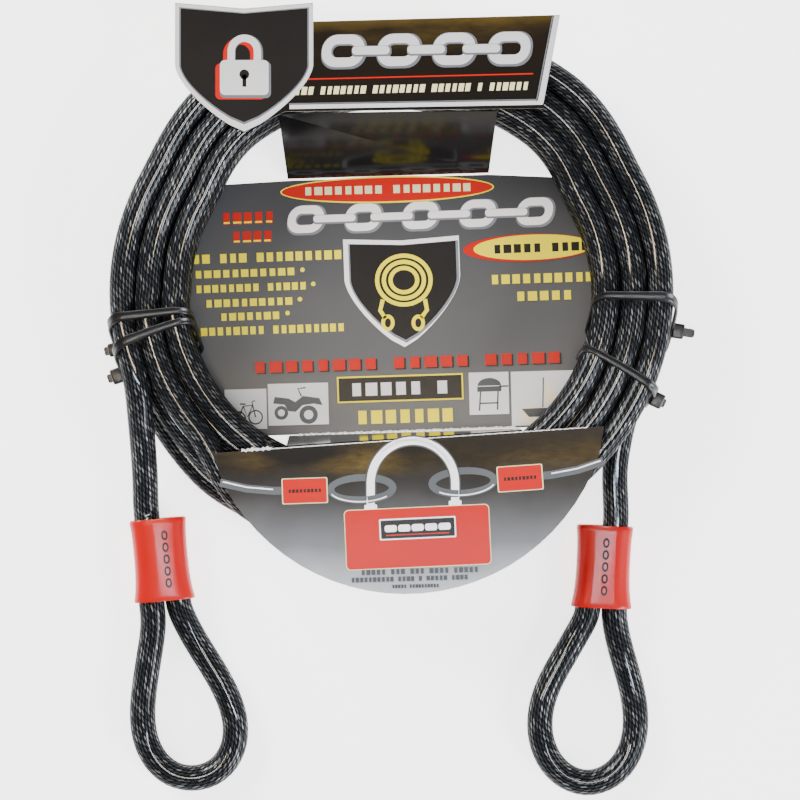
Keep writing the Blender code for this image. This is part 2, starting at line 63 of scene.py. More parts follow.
camera = {"over": (0.0031, -0.0412), "height": 1.212, "width": 0.308, "focus": 0.012}
print("camera")
cameraData = bpy.data.cameras.new("camera")
cameraData.sensor_width = 36.0
cameraData.lens = 36.0 * (camera["height"] - camera["focus"]) / camera["width"]
cameraData.clip_start = 0.05
cameraObject = bpy.data.objects.new("camera", cameraData)
cameraObject.location = (*camera["over"], camera["height"])
bpy.context.scene.collection.objects.link(cameraObject)
bpy.context.scene.camera = cameraObject

studio = {
    "backdrop": (1.60, 1.60, 1.60),
    "zenith": (0.11, 0.115, 0.125),
    "horizon": (0.50, 0.505, 0.515),
    "worldStrength": 0.55,
    "lamps": {
        # place, aim, width, height, power, colour
        "keySoftbox": ((-1.30, 1.15, 1.00), (0, 0, 0), 1.20, 0.90, 72.0, (1.0, 0.985, 0.96)),
        "fillSoftbox": ((1.45, -0.95, 0.90), (0, -0.04, 0), 1.10, 0.90, 56.0, (0.95, 0.97, 1.0)),
        "warmStrip": ((-0.20, -0.04, 1.25), (0, -0.04, 0), 0.036, 1.05, 5.6, (1.0, 0.80, 0.54)),
        "coolStrip": ((0.17, -0.16, 1.25), (0, -0.16, 0), 0.034, 0.90, 5.6, (0.74, 0.86, 1.0)),
    },
}


def addLamp(name, place, aim, width, height, power, colour):
    lamp = bpy.data.lights.new(name, "AREA")
    lamp.shape = "RECTANGLE"
    lamp.size = width
    lamp.size_y = height
    lamp.energy = power
    lamp.color = colour
    holder = bpy.data.objects.new(name, lamp)
    holder.location = place
    holder.rotation_euler = (Vector(aim) - Vector(place)).to_track_quat("-Z", "Y").to_euler()
    bpy.context.scene.collection.objects.link(holder)


def setUpStudio():
    for name, values in studio["lamps"].items():
        addLamp(name, *values)
    world = bpy.data.worlds.new("studio")
    world.use_nodes = True
    bpy.context.scene.world = world
    tree = world.node_tree
    background = tree.nodes["Background"]
    background.inputs["Strength"].default_value = studio["worldStrength"]
    coords = tree.nodes.new("ShaderNodeTexCoord")
    split = tree.nodes.new("ShaderNodeSeparateXYZ")
    ramp = tree.nodes.new("ShaderNodeValToRGB")  # darker overhead, so that flat varnish stays deep
    ramp.color_ramp.elements.new(0.35)
    bands = ((0.10, "backdrop"), (0.35, "horizon"), (0.85, "zenith"))
    for element, (place, key) in zip(ramp.color_ramp.elements, bands):
        element.position = place
        element.color = (*studio[key], 1.0)
    tree.links.new(coords.outputs["Generated"], split.inputs[0])
    tree.links.new(split.outputs["Z"], ramp.inputs["Fac"])
    tree.links.new(ramp.outputs["Color"], background.inputs["Color"])


# shader helpers and shared effect groups


def newMaterial(name):
    material = bpy.data.materials.new(name)
    material.use_nodes = True
    return material, material.node_tree, material.node_tree.nodes["Principled BSDF"]


def addNode(tree, kind, values=None, **settings):
    node = tree.nodes.new(kind)
    for key, value in settings.items():
        setattr(node, key, value)
    for key, value in (values or {}).items():
        node.inputs[key].default_value = value
    return node


def addMath(tree, operation, first, second=None, third=None):
    node = tree.nodes.new("ShaderNodeMath")
    node.operation = operation
    for socket, value in zip(node.inputs, (first, second, third)):
        if isinstance(value, (int, float)):
            socket.default_value = value
        elif value is not None:
            tree.links.new(value, socket)
    return node.outputs[0]


def addRamp(tree, factor, stops):
    node = tree.nodes.new("ShaderNodeValToRGB")
    elements = node.color_ramp.elements
    while len(elements) < len(stops):
        elements.new(0.5)
    for element, (place, colour) in zip(elements, stops):
        element.position = place
        element.color = (*colour, 1.0)
    tree.links.new(factor, node.inputs["Fac"])
    return node.outputs["Color"]


def mixColour(tree, factor, first, second):
    node = tree.nodes.new("ShaderNodeMix")
    node.data_type = "RGBA"
    for socket, value in ((node.inputs[0], factor), (node.inputs[6], first), (node.inputs[7], second)):
        if isinstance(value, (int, float)):
            socket.default_value = value
        elif isinstance(value, tuple):
            socket.default_value = (*value, 1.0)
        else:
            tree.links.new(value, socket)
    return node.outputs[2]


def newGroup(name, inputs, outputs):
    group = bpy.data.node_groups.new(name, "ShaderNodeTree")
    for label, kind, value in inputs:
        socket = group.interface.new_socket(label, in_out="INPUT", socket_type=kind)
        if value is not None:
            socket.default_value = value
    for label, kind in outputs:
        group.interface.new_socket(label, in_out="OUTPUT", socket_type=kind)
    return group, group.nodes.new("NodeGroupInput").outputs, group.nodes.new("NodeGroupOutput").inputs


wireWeave = {
    "columns": 25.0,  # round the jacket
    "shift": 11.0,  # how far each column is set on from the last, in columns
    "repeats": 3.9,  # of the dashes along the jacket
    "slant": 0.9,
    "halfWide": 0.40,
    "halfLong": 0.50,
    "glintPower": 3.0,
}


def makeWireGroup():
    # twisted wires under the jacket: a slanting lattice of short bright dashes, each with a random share of a
    # painted glint
    group, given, result = newGroup(
        "twistedWires",
        (("Around", "NodeSocketFloat", 0.0), ("Along", "NodeSocketFloat", 0.0)),
        (("Dash", "NodeSocketFloat"), ("Glint", "NodeSocketFloat"), ("Height", "NodeSocketFloat")),
    )
    columns = addMath(group, "MULTIPLY", given["Around"], wireWeave["columns"])
    column = addMath(group, "FLOOR", columns)
    across = addMath(group, "SUBTRACT", addMath(group, "FRACT", columns), 0.5)
    steps = addMath(group, "MULTIPLY", given["Along"], wireWeave["repeats"])
    shifted = addMath(group, "MULTIPLY_ADD", column, wireWeave["shift"] / wireWeave["columns"], steps)
    slanted = addMath(group, "MULTIPLY_ADD", across, wireWeave["slant"], shifted)
    row = addMath(group, "FLOOR", slanted)
    along = addMath(group, "SUBTRACT", addMath(group, "FRACT", slanted), 0.5)
    wide = addMath(group, "POWER", addMath(group, "DIVIDE", across, wireWeave["halfWide"]), 2.0)
    long = addMath(group, "POWER", addMath(group, "DIVIDE", along, wireWeave["halfLong"]), 2.0)
    spread = addMath(group, "ADD", wide, long)
    dashRange = {"From Min": 1.0, "From Max": 0.05}
    dash = addNode(group, "ShaderNodeMapRange", dashRange, interpolation_type="SMOOTHSTEP")
    group.links.new(spread, dash.inputs["Value"])
    cell = addNode(group, "ShaderNodeCombineXYZ")
    group.links.new(column, cell.inputs["X"])
    group.links.new(row, cell.inputs["Y"])
    # painted glints: a random value for each dash sets how much of the bright painted-highlight colour it
    # gets
    chance = addNode(group, "ShaderNodeTexWhiteNoise", noise_dimensions="2D")
    group.links.new(cell.outputs[0], chance.inputs["Vector"])
    glint = addMath(group, "POWER", chance.outputs["Value"], wireWeave["glintPower"])
    group.links.new(dash.outputs["Result"], result["Dash"])
    group.links.new(glint, result["Glint"])
    group.links.new(dash.outputs["Result"], result["Height"])
    return group


def makeGrainGroup():
    # fine mottling for anything moulded, printed or pressed
    group, given, result = newGroup(
        "fineGrain",
        (("Scale", "NodeSocketFloat", 400.0), ("Stretch", "NodeSocketVector", (1.0, 1.0, 1.0))),
        (("Fine", "NodeSocketFloat"), ("Broad", "NodeSocketFloat")),
    )
    coords = addNode(group, "ShaderNodeTexCoord")
    stretched = addNode(group, "ShaderNodeVectorMath", operation="MULTIPLY")
    group.links.new(coords.outputs["Object"], stretched.inputs[0])
    group.links.new(given["Stretch"], stretched.inputs[1])
    fine = addNode(group, "ShaderNodeTexNoise", {"Detail": 4.0, "Roughness": 0.6})
    broad = addNode(group, "ShaderNodeTexNoise", {"Detail": 2.0, "Roughness": 0.5})
    group.links.new(stretched.outputs[0], fine.inputs["Vector"])
    group.links.new(stretched.outputs[0], broad.inputs["Vector"])
    group.links.new(given["Scale"], fine.inputs["Scale"])
    group.links.new(addMath(group, "MULTIPLY", given["Scale"], 0.06), broad.inputs["Scale"])
    group.links.new(fine.outputs["Fac"], result["Fine"])
    group.links.new(broad.outputs["Fac"], result["Broad"])
    return group


wireGroup = makeWireGroup()
grainGroup = makeGrainGroup()


def addGrain(tree, scale, stretch=(1.0, 1.0, 1.0)):
    node = addNode(tree, "ShaderNodeGroup", node_tree=grainGroup)
    node.inputs["Scale"].default_value = scale
    node.inputs["Stretch"].default_value = stretch
    return node.outputs


def addBump(tree, shader, height, strength, distance):
    bump = addNode(tree, "ShaderNodeBump", {"Strength": strength, "Distance": distance})
    tree.links.new(height, bump.inputs["Height"])
    tree.links.new(bump.outputs["Normal"], shader.inputs["Normal"])


def spreadValue(tree, factor, low, high):
    node = addNode(tree, "ShaderNodeMapRange", {"To Min": low, "To Max": high})
    tree.links.new(factor, node.inputs["Value"])
    return node.outputs["Result"]


jacket = {
    "dark": (0.0022, 0.0026, 0.0036),
    "wireDull": (0.026, 0.030, 0.036),
    # painted glint: the bright base colour a dash takes in place of a lamp's highlight on a single wire
    "paintedGlint": (0.26, 0.265, 0.27),
    "coatRoughness": 0.06,
}


def makeCableMaterial():
    material, tree, shader = newMaterial("jacketedWire")
    uv = addNode(tree, "ShaderNodeUVMap", uv_map="strand")
    split = addNode(tree, "ShaderNodeSeparateXYZ")
    tree.links.new(uv.outputs["UV"], split.inputs[0])
    wires = addNode(tree, "ShaderNodeGroup", node_tree=wireGroup)
    tree.links.new(split.outputs["X"], wires.inputs["Along"])
    tree.links.new(split.outputs["Y"], wires.inputs["Around"])
    # painted highlight: dashes move from the dull wire colour towards the bright painted glint colour at
    # random
    wire = mixColour(tree, wires.outputs["Glint"], jacket["wireDull"], jacket["paintedGlint"])
    colour = mixColour(tree, wires.outputs["Dash"], jacket["dark"], wire)
    tree.links.new(colour, shader.inputs["Base Color"])
    tree.links.new(addMath(tree, "MULTIPLY", wires.outputs["Dash"], 0.75), shader.inputs["Metallic"])
    tree.links.new(spreadValue(tree, wires.outputs["Dash"], 0.55, 0.32), shader.inputs["Roughness"])
    shader.inputs["Specular IOR Level"].default_value = 0.05
    # a softer sheen where the jacket turns away
    edge = addNode(tree, "ShaderNodeLayerWeight", {"Blend": 0.5})
    sheenRange = {"From Min": 0.03, "From Max": 0.15, "To Min": 1.0, "To Max": 0.05}
    sheen = addNode(tree, "ShaderNodeMapRange", sheenRange)
    tree.links.new(edge.outputs["Facing"], sheen.inputs["Value"])
    tree.links.new(sheen.outputs["Result"], shader.inputs["Coat Weight"])
    shader.inputs["Coat Roughness"].default_value = jacket["coatRoughness"]
    shader.inputs["Coat IOR"].default_value = 1.45
    addBump(tree, shader, wires.outputs["Height"], 0.8, 0.0004)
    return material


cableMaterial = makeCableMaterial()


def makePlain(name, colour, deep, roughness, metallic=0.0, coat=0.0, scale=500.0, bump=0.15, specular=0.5):
    # a moulded or pressed finish: colour drifts between two tones and the gloss breaks up a little
    material, tree, shader = newMaterial(name)
    grain = addGrain(tree, scale)
    tree.links.new(mixColour(tree, grain["Broad"], colour, deep), shader.inputs["Base Color"])
    uneven = spreadValue(tree, grain["Fine"], roughness * 0.8, roughness * 1.25)
    tree.links.new(uneven, shader.inputs["Roughness"])
    shader.inputs["Metallic"].default_value = metallic
    shader.inputs["Specular IOR Level"].default_value = specular
    shader.inputs["Coat Weight"].default_value = coat
    shader.inputs["Coat Roughness"].default_value = 0.12
    addBump(tree, shader, grain["Fine"], bump, 0.00005)
    return material


sleeveMaterial = makePlain(
    "sleeveVinyl",
    (0.52, 0.0016, 0.0006),
    (0.42, 0.0010, 0.0004),
    0.36,
    coat=0.30,
    scale=300.0,
    specular=0.2,
)
nylonMaterial = makePlain(
    "tieNylon",
    (0.0045, 0.0045, 0.0050),
    (0.007, 0.007, 0.008),
    0.30,
    scale=900.0,
    bump=0.2,
)
ferruleMaterial = makePlain("pressedAluminium", (0.72, 0.72, 0.73), (0.62, 0.62, 0.64), 0.36, metallic=1.0)
ropeMaterial = makePlain("bareRope", (0.42, 0.42, 0.42), (0.30, 0.30, 0.30), 0.42, metallic=1.0)


# the coil: slots for its turns, then the turns pushed apart where they touch, for a set number of rounds

coil = {
    "halfX": 0.1077,
    "halfY": 0.1004,
    "shoulderBulge": 0.0050,
    "topFlattening": 0.0032,
    "liftSide": 0.0024,
    "liftEnds": 0.0003,
    # inset from the outer edge in cable diameters, and row from the bottom
    "slots": ((0.5, 2), (1.5, 2), (2.5, 2), (2.0, 1), (2.5, 0), (1.5, 0), (1.0, 1), (0.5, 0)),
    "pointsPerHalf": 90,
    "firstShift": 0.26,
    "shiftStagger": 0.067,
    "shiftLength": 0.135,
    "wander": 0.0007,
    "calmHalves": 0.3,  # no wander this near the two ends, in half turns
    "rounds": 90,
    "neighbours": 14,  # points this close along the cable never push each other
    "calmPoints": 12.0,  # the moves fade out over this many points at each end
    "touching": 0.992,  # of a diameter
    "push": 1.3,
    "mostMoved": 0.0022,
}


def coilLift(theta):
    rise = smoothStep(abs(math.cos(theta)), 0.2, 0.68)
    return coil["liftEnds"] + (coil["liftSide"] - coil["liftEnds"]) * rise


def bundlePoint(theta, inset, z, run=0.0):
    theta += run / math.hypot(coil["halfX"] * math.sin(theta), coil["halfY"] * math.cos(theta))
    normal = Vector((math.cos(theta) / coil["halfX"], math.sin(theta) / coil["halfY"])).normalized()
    bulge = coil["shoulderBulge"] * smoothStep(math.sin(theta), 0.45, 0.80)
    bulge -= coil["topFlattening"] * smoothStep(math.sin(theta), 0.90, 1.0)
    x = coil["halfX"] * math.cos(theta) + normal.x * (bulge - inset)
    y = coil["halfY"] * math.sin(theta) + normal.y * (bulge - inset)
    return (x, y, z)


def slotHeight(theta, row):
    return coilLift(theta) + cable["radius"] + row * cable["rowRise"]


def turnPlace(number, half, share):
    # one turn's inset and row. half 0 runs over the top from left to right, half 1 back along the bottom
    inset, row = coil["slots"][number]
    if half == 1:
        start = coil["firstShift"] + coil["shiftStagger"] * (6 - number)
        moved = smoothStep(share, start, start + coil["shiftLength"])
        nextInset, nextRow = coil["slots"][number + 1]
        inset += (nextInset - inset) * moved
        row += (nextRow - row) * moved
    return inset, row


def layCoil():
    points, angles = [], []
    count = coil["pointsPerHalf"]
    halves = [(number, half) for number in range(8) for half in (0, 1)][:-1]
    for order, (number, half) in enumerate(halves):
        last = order == len(halves) - 1
        for k in range(count + 1 if last else count):
            share = k / count
            theta = math.pi * (1 - share) if half == 0 else -math.pi * share
            inset, row = turnPlace(number, half, share)
            travelled = order + share
            calm = min(travelled, len(halves) - travelled, coil["calmHalves"]) / coil["calmHalves"]
            drift = math.sin(2.3 * travelled + 1.7 * number) + 0.6 * math.sin(5.1 * travelled + 0.9)
            place = bundlePoint(
                theta,
                inset * cable["diameter"] + calm * coil["wander"] * drift,
                slotHeight(theta, row),
            )
            points.append(place)
            angles.append(theta)
    return settle(np.array(points), angles)


def settle(points, angles):
    # every close pair of points moves apart, and the moves are smoothed along the cable
    start = points.copy()
    count = len(points)
    index = np.arange(count)
    apart = np.abs(index[:, None] - index[None, :]) > coil["neighbours"]
    low = np.array([slotHeight(a, 0) for a in angles])
    high = np.array([slotHeight(a, 2) for a in angles])
    calm = np.clip(np.minimum(index, count - 1 - index) / coil["calmPoints"], 0.0, 1.0)[:, None]
    reach = cable["diameter"] * coil["touching"]
    moves = np.zeros_like(points)
    for _ in range(coil["rounds"]):
        points = start + moves
        lengths = np.sum(points**2, axis=1)
        squared = lengths[:, None] + lengths[None, :] - 2 * points @ points.T
        first, second = np.nonzero((squared < reach**2) & apart)
        gap = points[first] - points[second]
        distance = np.maximum(np.linalg.norm(gap, axis=1), 1e-6)
        push = gap / distance[:, None] * ((reach - distance) * 0.5)[:, None]
        total = np.zeros_like(points)
        hits = np.zeros(count)
        np.add.at(total, first, push)
        np.add.at(hits, first, 1.0)
        moves = moves + total / np.maximum(hits, 1.0)[:, None] * coil["push"]
        moves[:, 2] = np.clip(start[:, 2] + moves[:, 2], low, high) - start[:, 2]
        flat = np.hypot(moves[:, 0], moves[:, 1])
        limit = np.minimum(1.0, coil["mostMoved"] / np.maximum(flat, 1e-9))
        moves[:, :2] *= limit[:, None]
        smooth = moves.copy()
        smooth[1:-1] = moves[1:-1] * 0.6 + (moves[:-2] + moves[2:]) * 0.2
        moves = smooth * calm
    return start + moves


# cables as tubes that carry their own length and turn as a UV map


def sweep(path):
    # evenly spaced rings along a path, each with a side that never twists
    path = np.array(path, dtype=float)
    lengths = np.concatenate(([0.0], np.cumsum(np.linalg.norm(np.diff(path, axis=0), axis=1))))
    count = max(int(round(lengths[-1] / cable["ringStep"])), 8)
    wanted = np.linspace(0.0, lengths[-1], count + 1)
    rings = np.column_stack([np.interp(wanted, lengths, path[:, k]) for k in range(3)])
    tangents = np.gradient(rings, axis=0)
    tangents /= np.linalg.norm(tangents, axis=1)[:, None]
    side = Vector(tangents[0]).cross(Vector((0, 0, 1))).normalized()
    sides = []
    for tangent in tangents:
        along = Vector(tangent)
        side = (side - along * side.dot(along)).normalized()
        sides.append((side.copy(), along.cross(side)))
    return {"rings": rings, "sides": sides, "step": wanted[1], "length": lengths[-1]}


def makeTube(name, swept, first, last, material):
    count, radius = cable["sides"], cable["radius"]
    bm = bmesh.new()
    rings = []
    for place, (side, up) in zip(swept["rings"][first : last + 1], swept["sides"][first : last + 1]):
        ring = []
        for k in range(count):
            a = 2 * math.pi * k / count
            ring.append(bm.verts.new(Vector(place) + (side * math.cos(a) + up * math.sin(a)) * radius))
        rings.append(ring)
    layer = bm.loops.layers.uv.new("strand")
    step = swept["step"] / cable["diameter"]
    for i in range(len(rings) - 1):
        for k in range(count):
            after = (k + 1) % count
            face = bm.faces.new((rings[i][k], rings[i][after], rings[i + 1][after], rings[i + 1][k]))
            face.smooth = True
            for loop, (ring, turn) in zip(face.loops, ((i, k), (i, k + 1), (i + 1, k + 1), (i + 1, k))):
                loop[layer].uv = ((first + ring) * step, turn / count)
    for ring in (rings[0], rings[-1]):
        for edge in bm.faces.new(ring).edges:
            edge.smooth = False
    bmesh.ops.recalc_face_normals(bm, faces=bm.faces)
    mesh = bpy.data.meshes.new(name)
    bm.to_mesh(mesh)
    bm.free()
    mesh.materials.append(material)
    piece = bpy.data.objects.new(name, mesh)
    bpy.context.scene.collection.objects.link(piece)
    return piece, swept["rings"][first : last + 1]


def smoothRoute(points, perSpan=16):
    # one natural cubic spline through the route's own points
    p = np.array([tuple(q) for q in points], dtype=float)
    spans = np.linalg.norm(np.diff(p, axis=0), axis=1)
    count = len(p)
    system = np.eye(count)
    right = np.zeros((count, 3))
    for i in range(1, count - 1):
        system[i, i - 1 : i + 2] = (spans[i - 1], 2 * (spans[i - 1] + spans[i]), spans[i])
        right[i] = 6 * ((p[i + 1] - p[i]) / spans[i] - (p[i] - p[i - 1]) / spans[i - 1])
    bend = np.linalg.solve(system, right)
    route = []
    for i, span in enumerate(spans):
        for x in np.linspace(0.0, span, perSpan, endpoint=False):
            a, b = span - x, x
            cubic = (bend[i] * a**3 + bend[i + 1] * b**3) / (6 * span)
            here = p[i] / span - bend[i] * span / 6
            there = p[i + 1] / span - bend[i + 1] * span / 6
            route.append(cubic + here * a + there * b)
    route.append(p[-1])
    return np.array(route)


crimp = {
    "sleeveLength": 0.0318,
    "ferruleLength": 0.0258,
    "height": 0.0068,
    "ropeSpread": 0.0040,
    "legSpread": 0.00515,
    "gap": 0.0003,
    "eyeHeight": 0.0052,
}

ends = {
    "left": {
        "side": -1,
        "top": (-0.0907, -0.0870),
        "lean": 5.2,
        "pivot": "left_end_swing",
        "tail": (
            (-0.1018, -0.0130, 0.0247),
            (-0.0990, -0.0260, 0.0247),
            (-0.0970, -0.0370, 0.0240),
            (-0.0960, -0.0487, 0.0211),
            (-0.0956, -0.0560, 0.0179),
            (-0.0953, -0.0640, 0.0141),
            (-0.0951, -0.0720, 0.0108),
        ),
        "eye": (
            (-0.0924, -0.1265),
            (-0.0934, -0.1365),
            (-0.0952, -0.1480),
            (-0.0965, -0.1600),
            (-0.0957, -0.1710),
            (-0.0915, -0.1804),
            (-0.0845, -0.1861),
            (-0.0762, -0.1875),
            (-0.0681, -0.1847),
            (-0.0625, -0.1780),
            (-0.0606, -0.1686),
            (-0.0628, -0.1580),
            (-0.0682, -0.1470),
            (-0.0745, -0.1368),
            (-0.0798, -0.1272),
        ),
    },
    "right": {
        "side": 1,
        "top": (0.0824, -0.0897),
        "lean": -2.8,
        "pivot": "right_end_swing",
        "tail": (
            (0.1018, -0.0130, 0.0074),
            (0.0990, -0.0250, 0.0074),
            (0.0948, -0.0370, 0.0074),
            (0.0910, -0.0450, 0.0074),
            (0.0880, -0.0560, 0.0072),
            (0.0862, -0.0700, 0.0069),
        ),
        "eye": (
            (0.0865, -0.1285),
            (0.0892, -0.1400),
            (0.0925, -0.1520),
            (0.0943, -0.1645),
            (0.0926, -0.1758),
            (0.0863, -0.1852),
            (0.0760, -0.1893),
            (0.0656, -0.1856),
            (0.0590, -0.1764),
            (0.0573, -0.1648),
            (0.0601, -0.1530),
            (0.0662, -0.1412),
            (0.0721, -0.1308),
        ),
    },
}


def crimpPlace(end, along, across=0.0):
    lean = math.radians(end["lean"])
    x = end["top"][0] + math.sin(lean) * along + math.cos(lean) * across
    y = end["top"][1] - math.cos(lean) * along + math.sin(lean) * across
    return (x, y, crimp["height"])


def tailRoute(end, start):
    leg = end["side"] * crimp["ropeSpread"]
    last = (crimp["sleeveLength"] - crimp["ferruleLength"]) / 2 - 3 * crimp["gap"]
    return smoothRoute([start, *end["tail"], crimpPlace(end, last - 0.0065, leg), crimpPlace(end, last, leg)])


def eyeRoute(end):
    first = (crimp["sleeveLength"] + crimp["ferruleLength"]) / 2 + 3 * crimp["gap"]
    leg = end["side"] * crimp["legSpread"]
    middle = [Vector((x, y, crimp["eyeHeight"])) for x, y in end["eye"]]
    middle[0].z = middle[-1].z = (crimp["eyeHeight"] + crimp["height"]) / 2
    knots = [crimpPlace(end, first, leg), crimpPlace(end, first + 0.003, leg), *middle]
    knots += [crimpPlace(end, first + 0.003, -leg), crimpPlace(end, first, -leg)]
    return smoothRoute(knots)


def makeCables():
    # tail, coil and tail are one sweep, so that the wires run on from each piece to the next
    turns = layCoil()
    leftTail = tailRoute(ends["left"], turns[0])[::-1]
    rightTail = tailRoute(ends["right"], turns[-1])
    whole = sweep(np.vstack([leftTail[:-1], turns, rightTail[1:]]))
    atLeft = int(np.argmin(np.linalg.norm(whole["rings"] - turns[0], axis=1)))
    atRight = int(np.argmin(np.linalg.norm(whole["rings"] - turns[-1], axis=1)))
    piece, path = makeTube("coiledCable", whole, atLeft, atRight, cableMaterial)
    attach(piece, "coil")
    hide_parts("cable_coil")
    spans = {"left": (0, atLeft, -1), "right": (atRight, len(whole["rings"]) - 1, 1)}
    for prefix, (first, last, outward) in spans.items():
        end = ends[prefix]
        tail, path = makeTube(prefix + "Tail", whole, first, last, cableMaterial)
        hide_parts(prefix + "_tail_upper", prefix + "_tail_lower")
        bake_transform(tail)
        loop = sweep(eyeRoute(end))
        eye, path = makeTube(prefix + "Eye", loop, 0, len(loop["rings"]) - 1, cableMaterial)
        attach(eye, prefix + "_end")
        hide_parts(prefix + "_eye")
    endToEnd = whole["length"] + 2 * crimp["sleeveLength"] + cable["eyesDeep"]
    print("cable from end to end:", round(endToEnd, 3), "m")


def dressNode(name, material):
    node = bpy.data.objects[name]
    for slot in node.material_slots:
        slot.material = material


def dressCrimps():
    for prefix in ends:
        dressNode(prefix + "_ferrule", ferruleMaterial)
        dressNode(prefix + "_live_rope", ropeMaterial)
        dressNode(prefix + "_dead_end_rope", ropeMaterial)

# the card: boards with a printed face, and inks that stand a hair proud of them


def makeBoard(name, low, high, stops, roughness, coat, bothSides=False, gilt=None):
    # colour runs up the card along its own Y; the cut edges and the back are plain board
    material, tree, shader = newMaterial(name)
    coords = addNode(tree, "ShaderNodeTexCoord")
    place = addNode(tree, "ShaderNodeSeparateXYZ")
    tree.links.new(coords.outputs["Object"], place.inputs[0])
    rise = addNode(tree, "ShaderNodeMapRange", {"From Min": low, "From Max": high})
    slanted = addMath(tree, "MULTIPLY_ADD", place.outputs["X"], -0.03, place.outputs["Y"])
    tree.links.new(slanted, rise.inputs["Value"])
    grain = addGrain(tree, 900.0)
    mottle = addMath(tree, "SUBTRACT", grain["Broad"], 0.5)
    wavy = addMath(tree, "MULTIPLY_ADD", mottle, 0.16, rise.outputs["Result"])
    printed = addRamp(tree, wavy, stops)
    if gilt:
        printed = addGilt(tree, printed, place.outputs["Y"], place.outputs["X"], gilt)
    facing = addNode(tree, "ShaderNodeSeparateXYZ")
    tree.links.new(coords.outputs["Normal"], facing.inputs[0])
    up = addMath(tree, "ABSOLUTE", facing.outputs["Z"]) if bothSides else facing.outputs["Z"]
    face = addMath(tree, "GREATER_THAN", up, 0.04 if bothSides else 0.4)
    tree.links.new(mixColour(tree, face, card["board"], printed), shader.inputs["Base Color"])
    uneven = spreadValue(tree, grain["Fine"], roughness * 0.85, roughness * 1.2)
    tree.links.new(uneven, shader.inputs["Roughness"])
    tree.links.new(addMath(tree, "MULTIPLY", face, coat), shader.inputs["Coat Weight"])
    shader.inputs["Coat Roughness"].default_value = 0.09
    shader.inputs["Specular IOR Level"].default_value = 0.10
    addBump(tree, shader, grain["Broad"], 0.25, 0.00012)
    return material


def addGilt(tree, colour, height, side, band):
    # gold foil that shows through the ink in streaks, strongest in the middle of a band
    start, peak, stop, rightFade = band
    fadeRange = {"From Min": rightFade, "From Max": rightFade - 0.03, "To Min": 0.18}
    fade = addNode(tree, "ShaderNodeMapRange", fadeRange)
    tree.links.new(side, fade.inputs["Value"])
    smooth = {"interpolation_type": "SMOOTHSTEP"}
    up = addNode(tree, "ShaderNodeMapRange", {"From Min": start, "From Max": peak}, **smooth)
    down = addNode(tree, "ShaderNodeMapRange", {"From Min": stop, "From Max": peak}, **smooth)
    tree.links.new(height, up.inputs["Value"])
    tree.links.new(height, down.inputs["Value"])
    streaks = addGrain(tree, 520.0, (0.35, 1.0, 1.0))
    cloud = addNode(tree, "ShaderNodeMapRange", {"From Min": 0.42, "From Max": 0.68})
    tree.links.new(streaks["Broad"], cloud.inputs["Value"])
    inBand = addMath(tree, "MULTIPLY", up.outputs["Result"], down.outputs["Result"])
    fleck = addMath(tree, "MULTIPLY_ADD", streaks["Fine"], 0.9, -0.05)
    cloudy = addMath(tree, "MULTIPLY", addMath(tree, "MULTIPLY", inBand, cloud.outputs["Result"]), fleck)
    amount = addMath(tree, "MULTIPLY", cloudy, fade.outputs["Result"])
    return mixColour(tree, amount, colour, card["gilt"])


card = {
    "gilt": (0.62, 0.40, 0.07),
    "board": (0.74, 0.71, 0.64),
    "inkRise": 0.00003,
    "inkGap": 0.00001,
    "backTop": 0.0006,
    "panelTop": 0.0306,
    # how far up the card, and the printed colour there
    "back": ((0.0, (0.120, 0.120, 0.126)), (0.5, (0.098, 0.097, 0.098)), (1.0, (0.050, 0.051, 0.057))),
    "header": ((0.0, (0.005, 0.004, 0.003)), (0.80, (0.011, 0.007, 0.004)), (1.0, (0.11, 0.070, 0.015))),
    "lower": (
        (0.0, (0.50, 0.52, 0.56)),
        (0.30, (0.15, 0.15, 0.16)),
        (0.62, (0.034, 0.032, 0.030)),
        (0.80, (0.005, 0.004, 0.004)),
    ),
    "shelf": ((0.0, (0.007, 0.006, 0.006)), (1.0, (0.004, 0.004, 0.005))),
}

inkColours = {
    # colour, deeper tone, roughness, metallic
    "silver": ((0.83, 0.83, 0.85), (0.66, 0.67, 0.71), 0.30, 0.35),
    "steel": ((0.20, 0.21, 0.24), (0.12, 0.13, 0.16), 0.34, 0.40),
    "yellow": ((1.0, 0.84, 0.0), (0.96, 0.78, 0.0), 0.45, 0.0),
    "pale": ((0.90, 0.84, 0.50), (0.84, 0.76, 0.40), 0.45, 0.0),
    "red": ((0.60, 0.006, 0.0012), (0.50, 0.004, 0.001), 0.40, 0.0),
    "white": ((0.84, 0.84, 0.83), (0.74, 0.75, 0.76), 0.50, 0.0),
    "black": ((0.006, 0.005, 0.005), (0.014, 0.012, 0.012), 0.35, 0.0),
    "grey": ((0.075, 0.085, 0.095), (0.045, 0.050, 0.058), 0.40, 0.1),
    "slate": ((0.115, 0.125, 0.135), (0.060, 0.068, 0.078), 0.36, 0.1),
    "glare": ((0.95, 0.72, 0.34), (0.90, 0.86, 0.78), 0.40, 0.0),
}
inks = {
    key: makePlain("ink" + key.title(), *tones[:3], metallic=tones[3], coat=0.06, specular=0.12)
    for key, tones in inkColours.items()
}


def box(width, height, corner=0.0):
    # a box about the origin, in millimetres, with rounded corners if it has any
    if corner == 0.0:
        x, y = width / 2, height / 2
        return [(x, y), (-x, y), (-x, -y), (x, -y)]
    outline = []
    for quarter, (sx, sy) in enumerate(((1, 1), (-1, 1), (-1, -1), (1, -1))):
        for k in range(7):
            a = math.pi / 2 * (quarter + k / 6)
            x = sx * (width / 2 - corner) + corner * math.cos(a)
            y = sy * (height / 2 - corner) + corner * math.sin(a)
            outline.append((x, y))
    return outline


def oval(halfWidth, halfHeight, count=36, start=0.0, stop=360.0):
    steps = range(count) if stop - start >= 360.0 else range(count + 1)
    angles = [math.radians(start + (stop - start) * k / count) for k in steps]
    return [(halfWidth * math.cos(a), halfHeight * math.sin(a)) for a in angles]


